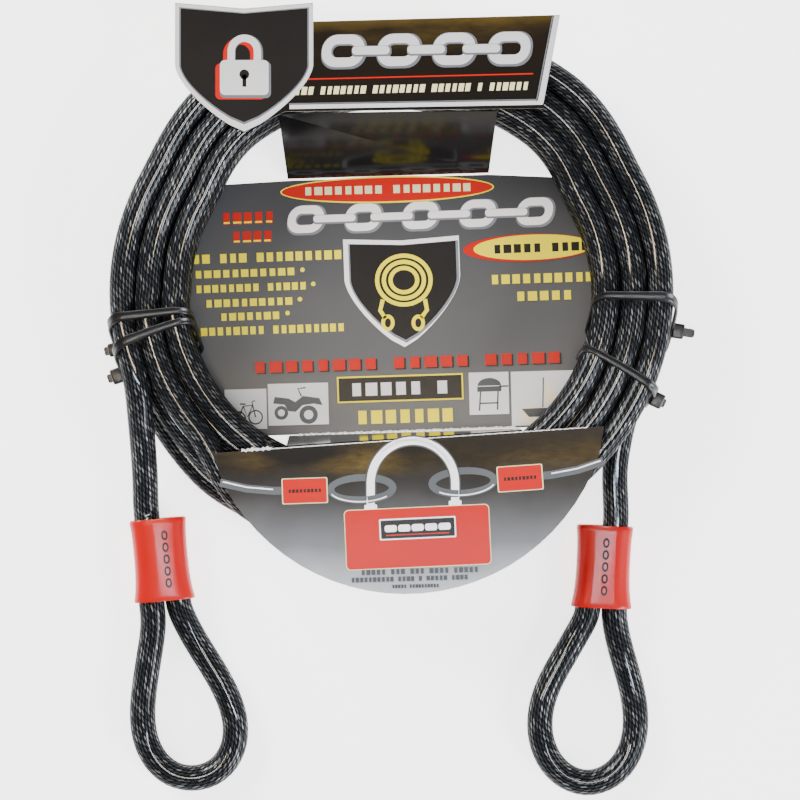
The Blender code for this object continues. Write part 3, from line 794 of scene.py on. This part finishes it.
def put(outline, x, y, slope=0.0, lean=0.0):
    c, s = math.cos(math.radians(slope)), math.sin(math.radians(slope))
    return [(x + (u + v * lean) * c - v * s, y + (u + v * lean) * s + v * c) for u, v in outline]


def stroke(points, width):
    # a line of even width along a few points
    left, right = [], []
    for i, (x, y) in enumerate(points):
        before, after = points[max(i - 1, 0)], points[min(i + 1, len(points) - 1)]
        run = Vector((after[0] - before[0], after[1] - before[1])).normalized() * width / 2
        left.append((x - run.y, y + run.x))
        right.append((x + run.y, y - run.x))
    return left + right[::-1]


def copyLine(start, stop, y, height, words, slope=0.0, lean=0.0):
    # a line of copy shown only as blocks, one for each letter of each word
    step = (stop - start) / (sum(words) + 0.8 * (len(words) - 1))
    shapes = []
    x = start
    for order, letters in enumerate(words):
        for k in range(letters):
            width = step * (0.58 + 0.07 * ((3 * k + 5 * order) % 4))
            lift = math.tan(math.radians(slope)) * (x - start)
            shapes.append(put(box(width, height), x + step / 2, y + lift, slope, lean))
            x += step
        x += 0.8 * step
    return shapes


def shield(half, top, shoulder, tip, dip):
    outline = [(half, top), (0.0, top - dip), (-half, top)]
    flank = []
    for k in range(0, 12):
        t = k / 12
        flank.append((half * math.cos(t * math.pi / 2) ** 0.75, shoulder + (tip - shoulder) * t**1.25))
    return outline + [(-x, y) for x, y in flank] + [(0.0, tip)] + [(x, y) for x, y in reversed(flank)]


def chainRow(start, stop, y, height, count, slope, lean):
    # links seen flat and edge-on in turn, each with a darker rim under it
    flat = height * 1.32
    pitch = (stop - start - flat) / (count - 1)
    rims, faces = [], []
    for k in range(count):
        x = start + flat / 2 + pitch * k
        lift = y + math.tan(math.radians(slope)) * (x - start)
        for shapes, grow, shift in ((rims, 0.55, 0.35), (faces, 0.0, 0.0)):
            place = (x + shift, lift - shift, slope, lean)
            outer = put(box(flat + 2 * grow, height + 2 * grow, height * 0.46), *place)
            inner = put(box(flat * 0.56 - grow, height * 0.42 - grow, height * 0.19), *place)
            shapes.append((outer, inner))
    joins, joinRims = [], []
    for k in range(count - 1):
        x = start + flat / 2 + pitch * (k + 0.5)
        lift = y + math.tan(math.radians(slope)) * (x - start)
        long = pitch - flat * 0.42
        joinRims.append(put(box(long + 0.9, height * 0.26 + 0.9, height * 0.12), x + 0.3, lift - 0.3, slope))
        joins.append(put(box(long, height * 0.26, height * 0.12), x, lift, slope))
    return [("steel", rims), ("silver", faces), ("steel", joinRims), ("silver", joins)]


def printSheet(name, body, top, layers):
    # every layer of ink lies over the one before it
    bm = bmesh.new()
    used = []
    for level, (ink, shapes) in enumerate(layers):
        if ink not in used:
            used.append(ink)
        low = top + card["inkGap"]
        high = low + card["inkRise"] + level * card["inkRise"] * 0.35
        for shape in shapes:
            loops = shape if isinstance(shape, tuple) else (shape,)
            walls = []
            for outline in loops:
                floor = [bm.verts.new((x / 1000, y / 1000, low)) for x, y in outline]
                roof = [bm.verts.new((x / 1000, y / 1000, high)) for x, y in outline]
                walls.append(roof)
                for i in range(len(roof)):
                    j = (i + 1) % len(roof)
                    bm.faces.new((floor[i], floor[j], roof[j], roof[i])).material_index = used.index(ink)
            if len(walls) == 1:
                bm.faces.new(walls[0]).material_index = used.index(ink)
            else:
                for i in range(len(walls[0])):
                    j = (i + 1) % len(walls[0])
                    ring = (walls[0][i], walls[0][j], walls[1][j], walls[1][i])
                    bm.faces.new(ring).material_index = used.index(ink)
    bmesh.ops.recalc_face_normals(bm, faces=bm.faces)
    for face in bm.faces:
        if abs(face.normal.z) > 0.9 and face.normal.z < 0:
            face.normal_flip()
    mesh = bpy.data.meshes.new(name)
    bm.to_mesh(mesh)
    bm.free()
    for ink in used:
        mesh.materials.append(inks[ink])
    piece = bpy.data.objects.new(name, mesh)
    bpy.context.scene.collection.objects.link(piece)
    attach(piece, body)


def tornEdge(start, stop, width, count, seed):
    # a ragged sliver where the board was torn along its perforation
    (x0, y0), (x1, y1) = start, stop
    upper, lower = [], []
    for k in range(count + 1):
        t = k / count
        rough = math.sin(k * 2.7 + seed) + 0.7 * math.sin(k * 5.3 + 2 * seed)
        x, y = x0 + (x1 - x0) * t, y0 + (y1 - y0) * t
        upper.append((x, y + width * (0.35 + 0.22 * rough)))
        lower.append((x, y - width * (0.35 + 0.20 * math.sin(k * 3.9 + seed))))
    return upper + lower[::-1]


def padlock(x, y, size):
    # a bow and a body, as two outlines
    arch = [(x + u, y + size * 0.22 + v) for u, v in oval(size * 0.27, size * 0.27, 20, 0.0, 180.0)]
    bow = [(x + size * 0.27, y + size * 0.041)] + arch + [(x - size * 0.27, y + size * 0.041)]
    return [stroke(bow, size * 0.15), put(box(size, size * 0.72, size * 0.10), x, y - size * 0.32)]


def printHeader():
    layers = [
        ("silver", [put(box(96.0, 1.6), 9.2, 70.7, 1.0)]),
        ("silver", [put(box(2.2, 33.4), 59.5, 87.9, 0.0, 0.19)]),
        ("steel", [put(box(0.5, 32.4), 57.9, 88.1, 0.0, 0.19), put(box(94.0, 0.4), 8.0, 71.9, 1.0)]),
        ("red", [put(box(106.0, 0.55), 0.6, 81.2, 1.4)]),
        ("pale", copyLine(-37.0, 52.0, 75.9, 3.0, (3, 7, 8, 6, 1, 6), 1.3, 0.2)),
    ]
    layers += chainRow(-26.5, 52.5, 91.0, 12.2, 4, 1.0, 0.12)
    layers += [
        ("silver", [put(shield(26.2, 49.0, 25.6, 0.4, 2.2), -56.0, 60.2)]),
        ("steel", [put(shield(24.6, 47.5, 25.5, 3.0, 2.1), -56.0, 60.2)]),
        ("black", [put(shield(24.0, 47.0, 25.4, 3.9, 2.0), -56.0, 60.2)]),
        ("red", padlock(-57.4, 85.6, 19.0)),
        ("steel", padlock(-55.5, 86.4, 19.4)),
        ("silver", padlock(-55.9, 86.9, 18.4)),
        ("black", [put(oval(1.9, 1.9, 20), -55.9, 82.2), put(box(1.5, 4.6), -55.9, 79.8)]),
    ]
    printSheet("headerPrint", "top_flap", card["panelTop"], layers)


def pictograms():
    white = [put(box(16.2, 15.6), -56.8, -44.8, 1.5), put(box(23.4, 16.2), -36.4, -42.8, 1.5)]
    white += [put(box(15.4, 16.4), 37.7, -38.6, 1.5), put(box(26.0, 21.0), 59.4, -40.4, 1.5)]
    dark = []
    for x, y in ((-59.6, -48.4), (-53.0, -47.9)):  # a bicycle
        dark.append((put(oval(2.9, 2.9, 24), x, y), put(oval(2.3, 2.3, 24), x, y)))
    dark += [stroke([(-59.6, -48.4), (-57.8, -43.6), (-54.1, -43.3), (-53.0, -47.9)], 0.55)]
    dark += [stroke([(-57.8, -43.6), (-56.2, -47.8), (-54.1, -43.3), (-54.4, -41.8), (-53.2, -41.5)], 0.5)]
    dark += [put(box(2.2, 0.6), -58.0, -42.8)]
    for x, y, size in ((-43.0, -46.2, 2.7), (-32.4, -46.9, 3.6)):  # a four-wheeler
        dark.append((put(oval(size, size, 24), x, y), put(oval(size * 0.5, size * 0.5, 24), x, y)))
    dark.append(
        [
            (-46.2, -42.6), (-45.6, -40.0), (-40.2, -40.6), (-37.6, -42.0),
            (-34.6, -39.6), (-28.2, -40.4), (-27.0, -43.2), (-30.4, -42.6),
            (-34.8, -43.2), (-37.4, -45.8), (-40.2, -45.6), (-41.8, -43.0),
        ]
    )
    dark.append(stroke([(-35.2, -39.8), (-36.6, -36.8), (-33.6, -36.4)], 0.6))
    # a grill
    dark += [put(oval(4.6, 3.0, 16, 0.0, 180.0), 37.8, -35.6, 2.0), put(box(9.4, 2.0), 37.8, -36.9, 2.0)]
    dark += [stroke([(34.4, -38.0), (34.0, -45.4)], 0.6), stroke([(41.2, -37.8), (41.0, -45.0)], 0.6)]
    dark += [put(box(7.4, 0.6), 37.6, -42.4, 2.0), put(box(3.6, 0.6), 43.4, -35.8, 2.0)]
    dark += [[(50.4, -44.6), (69.0, -43.8), (66.4, -47.4), (53.2, -47.8)]]  # a boat
    dark += [stroke([(58.6, -44.0), (58.8, -32.4)], 0.5)]
    glare = [[(59.6, -33.0), (59.5, -42.6), (66.2, -42.4)], put(oval(5.4, 3.6, 24), 54.6, -47.0)]
    return [("white", white), ("glare", glare[1:]), ("grey", dark), ("glare", glare[:1])]


def printBack():
    layers = [
        ("yellow", [put(oval(41.6, 5.2, 56), -1.9, 40.6, 1.5)]),
        ("red", [put(oval(41.0, 4.6, 56), -1.9, 40.6, 1.5)]),
        ("pale", copyLine(-34.5, 31.0, 39.9, 3.1, (8, 8), 1.5)),
        ("red", copyLine(-66.5, -45.5, 29.2, 4.6, (5,), 2.0) + copyLine(-62.5, -46.2, 22.0, 4.4, (4,), 2.0)),
        (
            "yellow",
            copyLine(-66.3, -45.7, 27.6, 0.7, (5,), 2.0) + copyLine(-62.3, -46.4, 20.4, 0.7, (4,), 2.0),
        ),
    ]
    layers += chainRow(-40.5, 62.5, 28.8, 10.6, 5, 2.0, 0.18)
    layers += [
        ("silver", [put(shield(22.5, 22.0, 6.5, -20.6, 1.2), 4.2, 0.0, 2.0)]),
        ("steel", [put(shield(21.4, 20.6, 6.4, -18.6, 1.1), 5.0, -0.4, 2.0)]),
        ("black", [put(shield(20.6, 20.2, 6.2, -17.6, 1.0), 4.8, -0.2, 2.0)]),
    ]
    rings = []
    for size in (11.2, 8.6, 6.0):  # a coil of cable
        outside = oval(size, size * 0.92, 40)
        inside = oval(size - 1.6, size * 0.92 - 1.6, 40)
        rings.append((put(outside, 4.6, 5.4), put(inside, 4.6, 5.4)))
    rings += [
        stroke([(-3.6, -2.2), (-4.6, -6.4), (-2.6, -9.4)], 1.6),
        stroke([(12.8, -2.0), (13.6, -6.2), (11.4, -9.2)], 1.6),
    ]
    rings += [(put(oval(2.6, 3.2, 24), x, -11.2), put(oval(1.2, 1.8, 24), x, -11.2)) for x in (-1.6, 10.2)]
    heading = copyLine(-78.0, -19.2, 13.4, 3.5, (2, 3, 9), 2.0)
    copy = copyLine(-77.0, -37.5, 7.5, 2.9, (11,), 2.0) + copyLine(-76.6, -33.0, 1.8, 2.9, (8, 5), 2.0)
    copy += copyLine(-72.8, -38.4, -3.8, 2.9, (10,), 2.0) + copyLine(-67.0, -43.4, -9.0, 2.9, (7,), 2.0)
    copy += copyLine(-77.8, -18.2, -14.9, 3.1, (9, 9), 2.0)
    dotPlaces = ((-34.8, 9.4), (-30.6, 3.9), (-35.8, -2.0), (-40.6, -7.4))
    dots = [put(oval(0.9, 0.9, 14), x, y) for x, y in dotPlaces]
    layers += [
        ("yellow", rings + heading + copy + dots),
        ("red", [put(oval(25.4, 5.4, 48), 53.0, 18.0, 2.2)]),
        ("yellow", [put(oval(23.2, 4.9, 48), 54.8, 18.2, 2.2)]),
        ("black", copyLine(39.0, 77.0, 17.4, 3.4, (5, 4), 2.2)),
        ("yellow", copyLine(38.0, 79.0, 5.6, 3.6, (10,), 1.8) + copyLine(47.8, 70.5, -0.9, 3.6, (5,), 1.8)),
        ("black", copyLine(-53.8, 66.6, -29.0, 4.3, (8, 5, 5), 2.0)),
        ("red", copyLine(-54.4, 66.0, -28.6, 4.3, (8, 5, 5), 2.0)),
        ("yellow", [put(box(49.0, 10.2), 3.2, -36.6, 1.8)]),
        ("black", [put(box(47.8, 9.0), 3.2, -36.6, 1.8)]),
        ("white", copyLine(-16.6, 22.4, -37.2, 5.0, (5, 1), 1.8)),
        ("yellow", copyLine(-14.2, 24.4, -48.0, 5.2, (7,), 1.8)),
        ("white", [tornEdge((-36.0, -54.6), (48.0, -51.6), 0.8, 90, 0.4)]),
    ]
    printSheet("backPrint", "coil", card["backTop"], layers + pictograms())


def cableLoop(mirror, x, y, turn):
    # a printed cable that ends in an eye
    def at(u, v):
        c, s = math.cos(math.radians(turn)), math.sin(math.radians(turn))
        return (x + mirror * (u * c - v * s), y + u * s + v * c)

    eye = [at(21.6 + u, v) for u, v in oval(13.2, 5.6, 36)]
    hole = [at(21.6 + u, v) for u, v in oval(10.4, 2.9, 36)]
    front = stroke([at(21.6 + u, v) for u, v in oval(11.8, 4.3, 24, -80.0, 62.0)], 2.8)
    lead = [at(-32.0, 4.2), at(-22.0, 1.6), at(-12.0, 0.4), at(0.0, 0.0)]
    gleams = [stroke([at(u, v + 0.5) for u, v in ((-31.0, 4.0), (-22.0, 1.6), (-12.0, 0.4))], 0.5)]
    gleams.append(stroke([at(21.6 + u, v) for u, v in oval(12.2, 4.9, 20, 200.0, 320.0)], 0.45))
    return [(eye, hole), stroke(lead, 3.0)], front, gleams


def printLower():
    leftCable, leftFront, leftGleams = cableLoop(1, -33.0, -75.6, 2.0)
    rightCable, rightFront, rightGleams = cableLoop(-1, 48.6, -70.8, -4.0)
    bow = oval(16.0, 16.0, 32, 0.0, 180.0)
    shackle = [(18.4 + 5.6, -88.6)] + [(8.0 + u, -72.6 + v) for u, v in bow] + [(-8.0, -90.0)]
    body = put(box(54.6, 22.4, 1.6), 9.8, -93.2, 2.6)
    layers = [
        ("slate", leftCable + rightCable),
        ("grey", [stroke(shackle, 4.2)]),
        ("silver", [stroke(shackle, 3.0)]),
        ("white", [stroke([(px - 0.5, py + 0.2) for px, py in shackle[6:26]], 0.8)]),
        ("silver", [put(box(4.8, 1.8, 0.4), -8.0, -81.8, 2.6), put(box(4.8, 1.8, 0.4), 24.0, -80.2, 2.6)]),
        ("slate", [leftFront, rightFront]),
        ("silver", leftGleams + rightGleams),
        ("pale", [put(box(17.4, 9.8, 0.6), -33.0, -75.6, 2.0), put(box(17.4, 9.8, 0.6), 48.6, -70.8, 4.0)]),
        ("red", [put(box(16.6, 9.2, 0.6), -33.0, -75.6, 2.0), put(box(16.6, 9.2, 0.6), 48.6, -70.8, 4.0)]),
        (
            "black",
            copyLine(-39.4, -26.6, -75.8, 1.3, (9,), 2.0) + copyLine(42.2, 55.0, -71.2, 1.3, (9,), 4.0),
        ),
        ("pale", [put(box(55.2, 23.0, 1.8), 9.8, -93.2, 2.6)]),
        ("red", [body]),
        ("silver", [put(box(29.0, 8.0, 0.5), 9.8, -89.8, 2.6)]),
        ("black", [put(box(28.0, 7.0, 0.4), 9.8, -89.8, 2.6)]),
        (
            "silver",
            [
                put(box(4.6, 2.6, 0.9), x, -89.5 + (x - 9.8) * 0.045, 2.6)
                for x in (-0.4, 4.7, 9.8, 14.9, 20.0)
            ],
        ),
        ("red", [put(box(24.0, 0.4), 9.8, -92.0, 2.6)]),
        ("grey", copyLine(-11.8, 33.0, -106.6, 2.0, (5, 3, 3, 4, 5), 1.6)),
        ("grey", copyLine(-15.5, 29.0, -109.5, 1.8, (10, 4, 1, 5, 4), 1.6)),
        ("grey", copyLine(0.0, 18.0, -111.9, 1.3, (5, 10), 1.4)),
        (
            "white",
            [
                tornEdge((-57.0, -60.3), (-45.5, -59.5), 1.5, 14, 0.2),
                tornEdge((-45.5, -59.7), (74.0, -51.6), 0.45, 130, 1.9),
            ],
        ),
    ]
    printSheet("lowerPrint", "lower_flap", card["panelTop"], layers)


def makeCard():
    for name, key, low, high, roughness, coat, gilt in (
        ("card_back_panel", "back", -0.055, 0.046, 0.45, 0.06, None),
        ("card_header", "header", 0.068, 0.107, 0.32, 0.12, (0.088, 0.105, 0.112, 0.030)),
        ("card_lower_panel", "lower", -0.115, -0.052, 0.40, 0.06, (-0.072, -0.062, -0.050, 0.022)),
    ):
        dressNode(name, makeBoard(key + "Board", low, high, card[key], roughness, coat, gilt=gilt))
    for name in ("card_top_shelf", "card_bottom_shelf"):
        dressNode(name, makeBoard(name + "Board", -0.06, 0.07, card["shelf"], 0.16, 0.9, bothSides=True))
    printHeader()
    printBack()
    printLower()


sleeve = {
    # distance along the sleeve and half width: waisted, with a rolled and flared mouth at each end
    "outer": (
        (0.0000, 0.01035), (0.0002, 0.01072), (0.0007, 0.01095), (0.0013, 0.01098), (0.0022, 0.01085),
        (0.0045, 0.01062), (0.0080, 0.01046), (0.0120, 0.01040), (0.0159, 0.01040), (0.0200, 0.01048),
        (0.0240, 0.01072), (0.0275, 0.01112), (0.0298, 0.01152), (0.0307, 0.01172), (0.0313, 0.01176),
        (0.0317, 0.01160), (0.0318, 0.01120),
    ),
    "halfThick": 0.0064,
    "boreHalf": 0.0112,
    "wall": 0.0011,
    "around": 64,
    "power": 2.35,
}


def crimpOval(end, along, half, thick):
    ring = []
    for k in range(sleeve["around"]):
        a = 2 * math.pi * k / sleeve["around"]
        c, s = math.cos(a), math.sin(a)
        x = half * math.copysign(abs(c) ** (2 / sleeve["power"]), c)
        z = thick * math.copysign(abs(s) ** (2 / sleeve["power"]), s)
        place = crimpPlace(end, along, x)
        ring.append(Vector((place[0], place[1], place[2] + z)))
    return ring


def meshOfRings(name, rings, material, closed=True, sharp=40.0):
    bm = bmesh.new()
    loops = [[bm.verts.new(p) for p in ring] for ring in rings]
    spans = len(loops) if closed else len(loops) - 1
    for i in range(spans):
        here, there = loops[i], loops[(i + 1) % len(loops)]
        for k in range(len(here)):
            j = (k + 1) % len(here)
            bm.faces.new((here[k], here[j], there[j], there[k])).smooth = True
    if not closed:
        bm.faces.new(loops[0])
        bm.faces.new(loops[-1])
    bmesh.ops.recalc_face_normals(bm, faces=bm.faces)
    mesh = bpy.data.meshes.new(name)
    bm.to_mesh(mesh)
    bm.free()
    mesh.materials.append(material)
    piece = bpy.data.objects.new(name, mesh)
    bpy.context.scene.collection.objects.link(piece)
    piece.data.set_sharp_from_angle(angle=math.radians(sharp))
    return piece


def makeSleeves():
    for prefix, end in ends.items():
        rings = []
        for along, half in sleeve["outer"]:
            thin = 1.0 if 0.0007 < along < 0.0311 else 0.985
            rings.append(crimpOval(end, along, half, sleeve["halfThick"] * thin))
        for along, half in reversed(sleeve["outer"]):
            deep = min(max(along, 0.0003), 0.0315)
            bore = min(half, sleeve["boreHalf"]) - sleeve["wall"]  # the flare stays outside
            rings.append(crimpOval(end, deep, bore, sleeve["halfThick"] - sleeve["wall"]))
        piece = meshOfRings(prefix + "SleeveSkin", rings, sleeveMaterial, sharp=60.0)
        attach(piece, prefix + "_end")
        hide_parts(prefix + "_sleeve")
        printSleeve(prefix, end)


def printSleeve(prefix, end):
    # a row of small links inked along the sleeve, following its curve
    bm = bmesh.new()
    shift = 0.0026 if prefix == "left" else 0.0004
    for k in range(5):
        middle = 0.0065 + k * 0.0046
        outer = oval(0.00195, 0.0013, 24)
        inner = oval(0.00105, 0.00058, 24)
        loops = []
        for outline in (outer, inner):
            loop = []
            for u, v in outline:
                place = crimpPlace(end, middle + u, shift + v)
                low = abs(shift + v) / np.interp(middle + u, *zip(*sleeve["outer"]))
                high = sleeve["halfThick"] * (1 - low ** sleeve["power"]) ** (1 / sleeve["power"])
                loop.append(bm.verts.new((place[0], place[1], place[2] + high + 0.00003)))
            loops.append(loop)
        for i in range(24):
            j = (i + 1) % 24
            bm.faces.new((loops[0][i], loops[0][j], loops[1][j], loops[1][i]))
    bmesh.ops.recalc_face_normals(bm, faces=bm.faces)
    mesh = bpy.data.meshes.new(prefix + "SleeveInk")
    bm.to_mesh(mesh)
    bm.free()
    mesh.materials.append(inks["black"])
    piece = bpy.data.objects.new(prefix + "SleeveInk", mesh)
    bpy.context.scene.collection.objects.link(piece)
    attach(piece, prefix + "_end")


# cable ties

tie = {
    "width": 0.0036,
    "thick": 0.00115,
    "gap": 0.00035,
    "bundle": 0.0300,
    "perCorner": 9,
    "perSide": 8,
    # side, run along the bundle, yaw, tilt, then the head's inset, height, length, width, thickness, stub
    "all": {
        "tie_left_upper": (math.pi, 0.0135, 0.0, 0.0100, -0.0022, 0.20, 0.0048, 0.0052, 0.0036, 0.0030),
        "tie_left_lower": (math.pi, 0.0190, 0.0055, 0.0110, -0.0030, 0.42, 0.0062, 0.0060, 0.0046, 0.0036),
        "tie_right_upper": (0.0, 0.0065, 0.0, 0.0130, -0.0032, 0.40, 0.0060, 0.0058, 0.0046, 0.0060),
        "tie_right_lower": (0.0, 0.0330, 0.0060, 0.0040, -0.0030, 0.62, 0.0062, 0.0058, 0.0046, 0.0030),
    },
}


def strapLoop(low, top):
    # the strap's run round the bundle, with the way out from it at every point
    r = cable["radius"] + tie["gap"] + tie["thick"] / 2
    far, near = tie["bundle"] - cable["radius"], cable["radius"]
    corners = ((far, low, -90), (far, top, 0), (near, top, 90), (near, low, 180))
    points = []
    for index, (inset, z, start) in enumerate(corners):
        for k in range(tie["perCorner"]):
            a = math.radians(start + 90 * k / (tie["perCorner"] - 1))
            points.append((inset + r * math.cos(a), z + r * math.sin(a), math.cos(a), math.sin(a)))
        after = corners[(index + 1) % 4]
        a = math.radians(start + 90)
        for k in range(1, tie["perSide"]):
            t = k / tie["perSide"]
            x = inset + (after[0] - inset) * t + r * math.cos(a)
            y = z + (after[1] - z) * t + r * math.sin(a)
            points.append((x, y, math.cos(a), math.sin(a)))
    return points


def strapSection():
    # one edge to the other and back: rounded edges and a shallow channel in the outer face
    half, deep = tie["width"] / 2, tie["thick"] / 2
    upper = (
        (-1.0, 0.1),
        (-0.97, 0.7),
        (-0.86, 1.0),
        (-0.55, 1.0),
        (-0.46, 0.70),
        (0.46, 0.70),
        (0.55, 1.0),
        (0.86, 1.0),
        (0.97, 0.7),
        (1.0, 0.1),
    )
    lower = ((0.97, -0.7), (0.86, -1.0), (-0.86, -1.0), (-0.97, -0.7))
    return [(u * half, v * deep) for u, v in upper + lower]


def makeTie(name, theta, run, yaw, tilt, headInset, headHeight, length, wide, deep, stub):
    travel = 1.0 if theta > 1.0 else -1.0
    low = slotHeight(theta + travel * run / coil["halfY"], 0)
    top = low + 2 * cable["rowRise"]

    def slanted(inset, z, across):
        slant = yaw * (1 - inset / tie["bundle"]) + tilt * (1 - (z - low) / (top - low))
        return Vector(bundlePoint(theta, inset, z, travel * (run + slant + across)))

    rings = []
    for inset, z, outX, outZ in strapLoop(low, top):
        rings.append([slanted(inset + outX * v, z + outZ * v, u) for u, v in strapSection()])
    strap = meshOfRings(name + "Strap", rings, nylonMaterial, sharp=50.0)
    head = makeTieHead(name, slanted, headInset, low + (top - low) * headHeight, length, wide, deep, stub)
    for piece in (strap, head):
        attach(piece, "coil")
    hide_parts(name)


tieHead = {
    "bevel": 0.0007,
    "bevelSteps": 4,
    "rim": 0.0007,
    "mouthDepth": 0.0006,
    "stubWidth": 0.47,  # half of the cut end, as a share of the strap's width
    "stubRoot": 0.0010,
    "stubReach": 0.0015,
}


def makeTieHead(name, slanted, inset, z, length, wide, deep, stub):
    # the ratchet box, its mouth, and the cut end of the strap that comes out of it
    centre = slanted(inset, z, 0.0)
    across = (slanted(inset, z, 0.001) - centre).normalized()
    outward = (slanted(inset - 0.001, z, 0.0) - centre).normalized()
    along = across.cross(outward).normalized()
    outward = along.cross(across).normalized()
    bpy.ops.object.select_all(action="DESELECT")
    bpy.ops.mesh.primitive_cube_add(size=1.0)
    head = bpy.context.object
    head.name = name + "Head"
    bpy.ops.object.mode_set(mode="EDIT")
    bpy.ops.transform.resize(value=(length, wide, deep))
    bpy.ops.mesh.bevel(offset=tieHead["bevel"], segments=tieHead["bevelSteps"], affect="EDGES")
    bpy.ops.object.mode_set(mode="OBJECT")
    for face in head.data.polygons:
        face.select = face.normal.z > 0.99 and face.area > 1e-6
    for edge in head.data.edges:
        edge.select = False
    for vert in head.data.vertices:
        vert.select = False
    bpy.ops.object.mode_set(mode="EDIT")
    bpy.ops.mesh.select_mode(type="FACE")
    bpy.ops.mesh.inset(thickness=tieHead["rim"])
    bpy.ops.transform.translate(value=(0, 0, -tieHead["mouthDepth"]))
    bpy.ops.object.mode_set(mode="OBJECT")
    bm = bmesh.new()
    bm.from_mesh(head.data)
    half, thick = tie["width"] * tieHead["stubWidth"], tie["thick"] / 2
    stations = ((0.0, 1.0, 1.0), (0.80, 1.0, 1.0), (0.93, 0.86, 0.9), (1.0, 0.60, 0.7))
    loops = []
    for share, broad, fat in stations:
        rise = deep / 2 - tieHead["stubRoot"] + share * (stub - deep / 2 + tieHead["stubReach"])
        deepHere, wideHere = thick * fat, half * broad
        ring = [(-deepHere, -wideHere), (deepHere, -wideHere), (deepHere, wideHere), (-deepHere, wideHere)]
        loops.append([bm.verts.new((x, y, rise)) for x, y in ring])
    for i in range(len(loops) - 1):
        for k in range(4):
            bm.faces.new((loops[i][k], loops[i][(k + 1) % 4], loops[i + 1][(k + 1) % 4], loops[i + 1][k]))
    bm.faces.new(loops[-1])
    bm.faces.new(loops[0][::-1])
    bmesh.ops.recalc_face_normals(bm, faces=bm.faces)
    bm.to_mesh(head.data)
    bm.free()
    turn = Matrix((along, across, outward)).transposed().to_4x4()
    head.data.transform(Matrix.Translation(centre) @ turn)
    head.data.materials.append(nylonMaterial)
    for face in head.data.polygons:
        face.use_smooth = True
    head.data.set_sharp_from_angle(angle=math.radians(35.0))
    return head


floorSheet = {"size": 4.0, "drop": 0.0003, "colour": (0.92, 0.92, 0.92, 1.0), "roughness": 0.9, "glow": 2.6}


def makeFloor():
    bpy.ops.mesh.primitive_plane_add(size=floorSheet["size"], location=(0, 0, -floorSheet["drop"]))
    floor = bpy.context.object
    floor.name = "floor"
    material, _, shader = newMaterial("palePaper")
    shader.inputs["Base Color"].default_value = floorSheet["colour"]
    shader.inputs["Roughness"].default_value = floorSheet["roughness"]
    shader.inputs["Emission Color"].default_value = (1.0, 1.0, 1.0, 1.0)
    shader.inputs["Emission Strength"].default_value = floorSheet["glow"]
    floor.data.materials.append(material)


print("studio")
setUpStudio()
makeFloor()
print("cables")
makeCables()
dressCrimps()
print("card")
makeCard()
print("sleeves and ties")
makeSleeves()
for tieName, values in tie["all"].items():
    makeTie(tieName, *values)
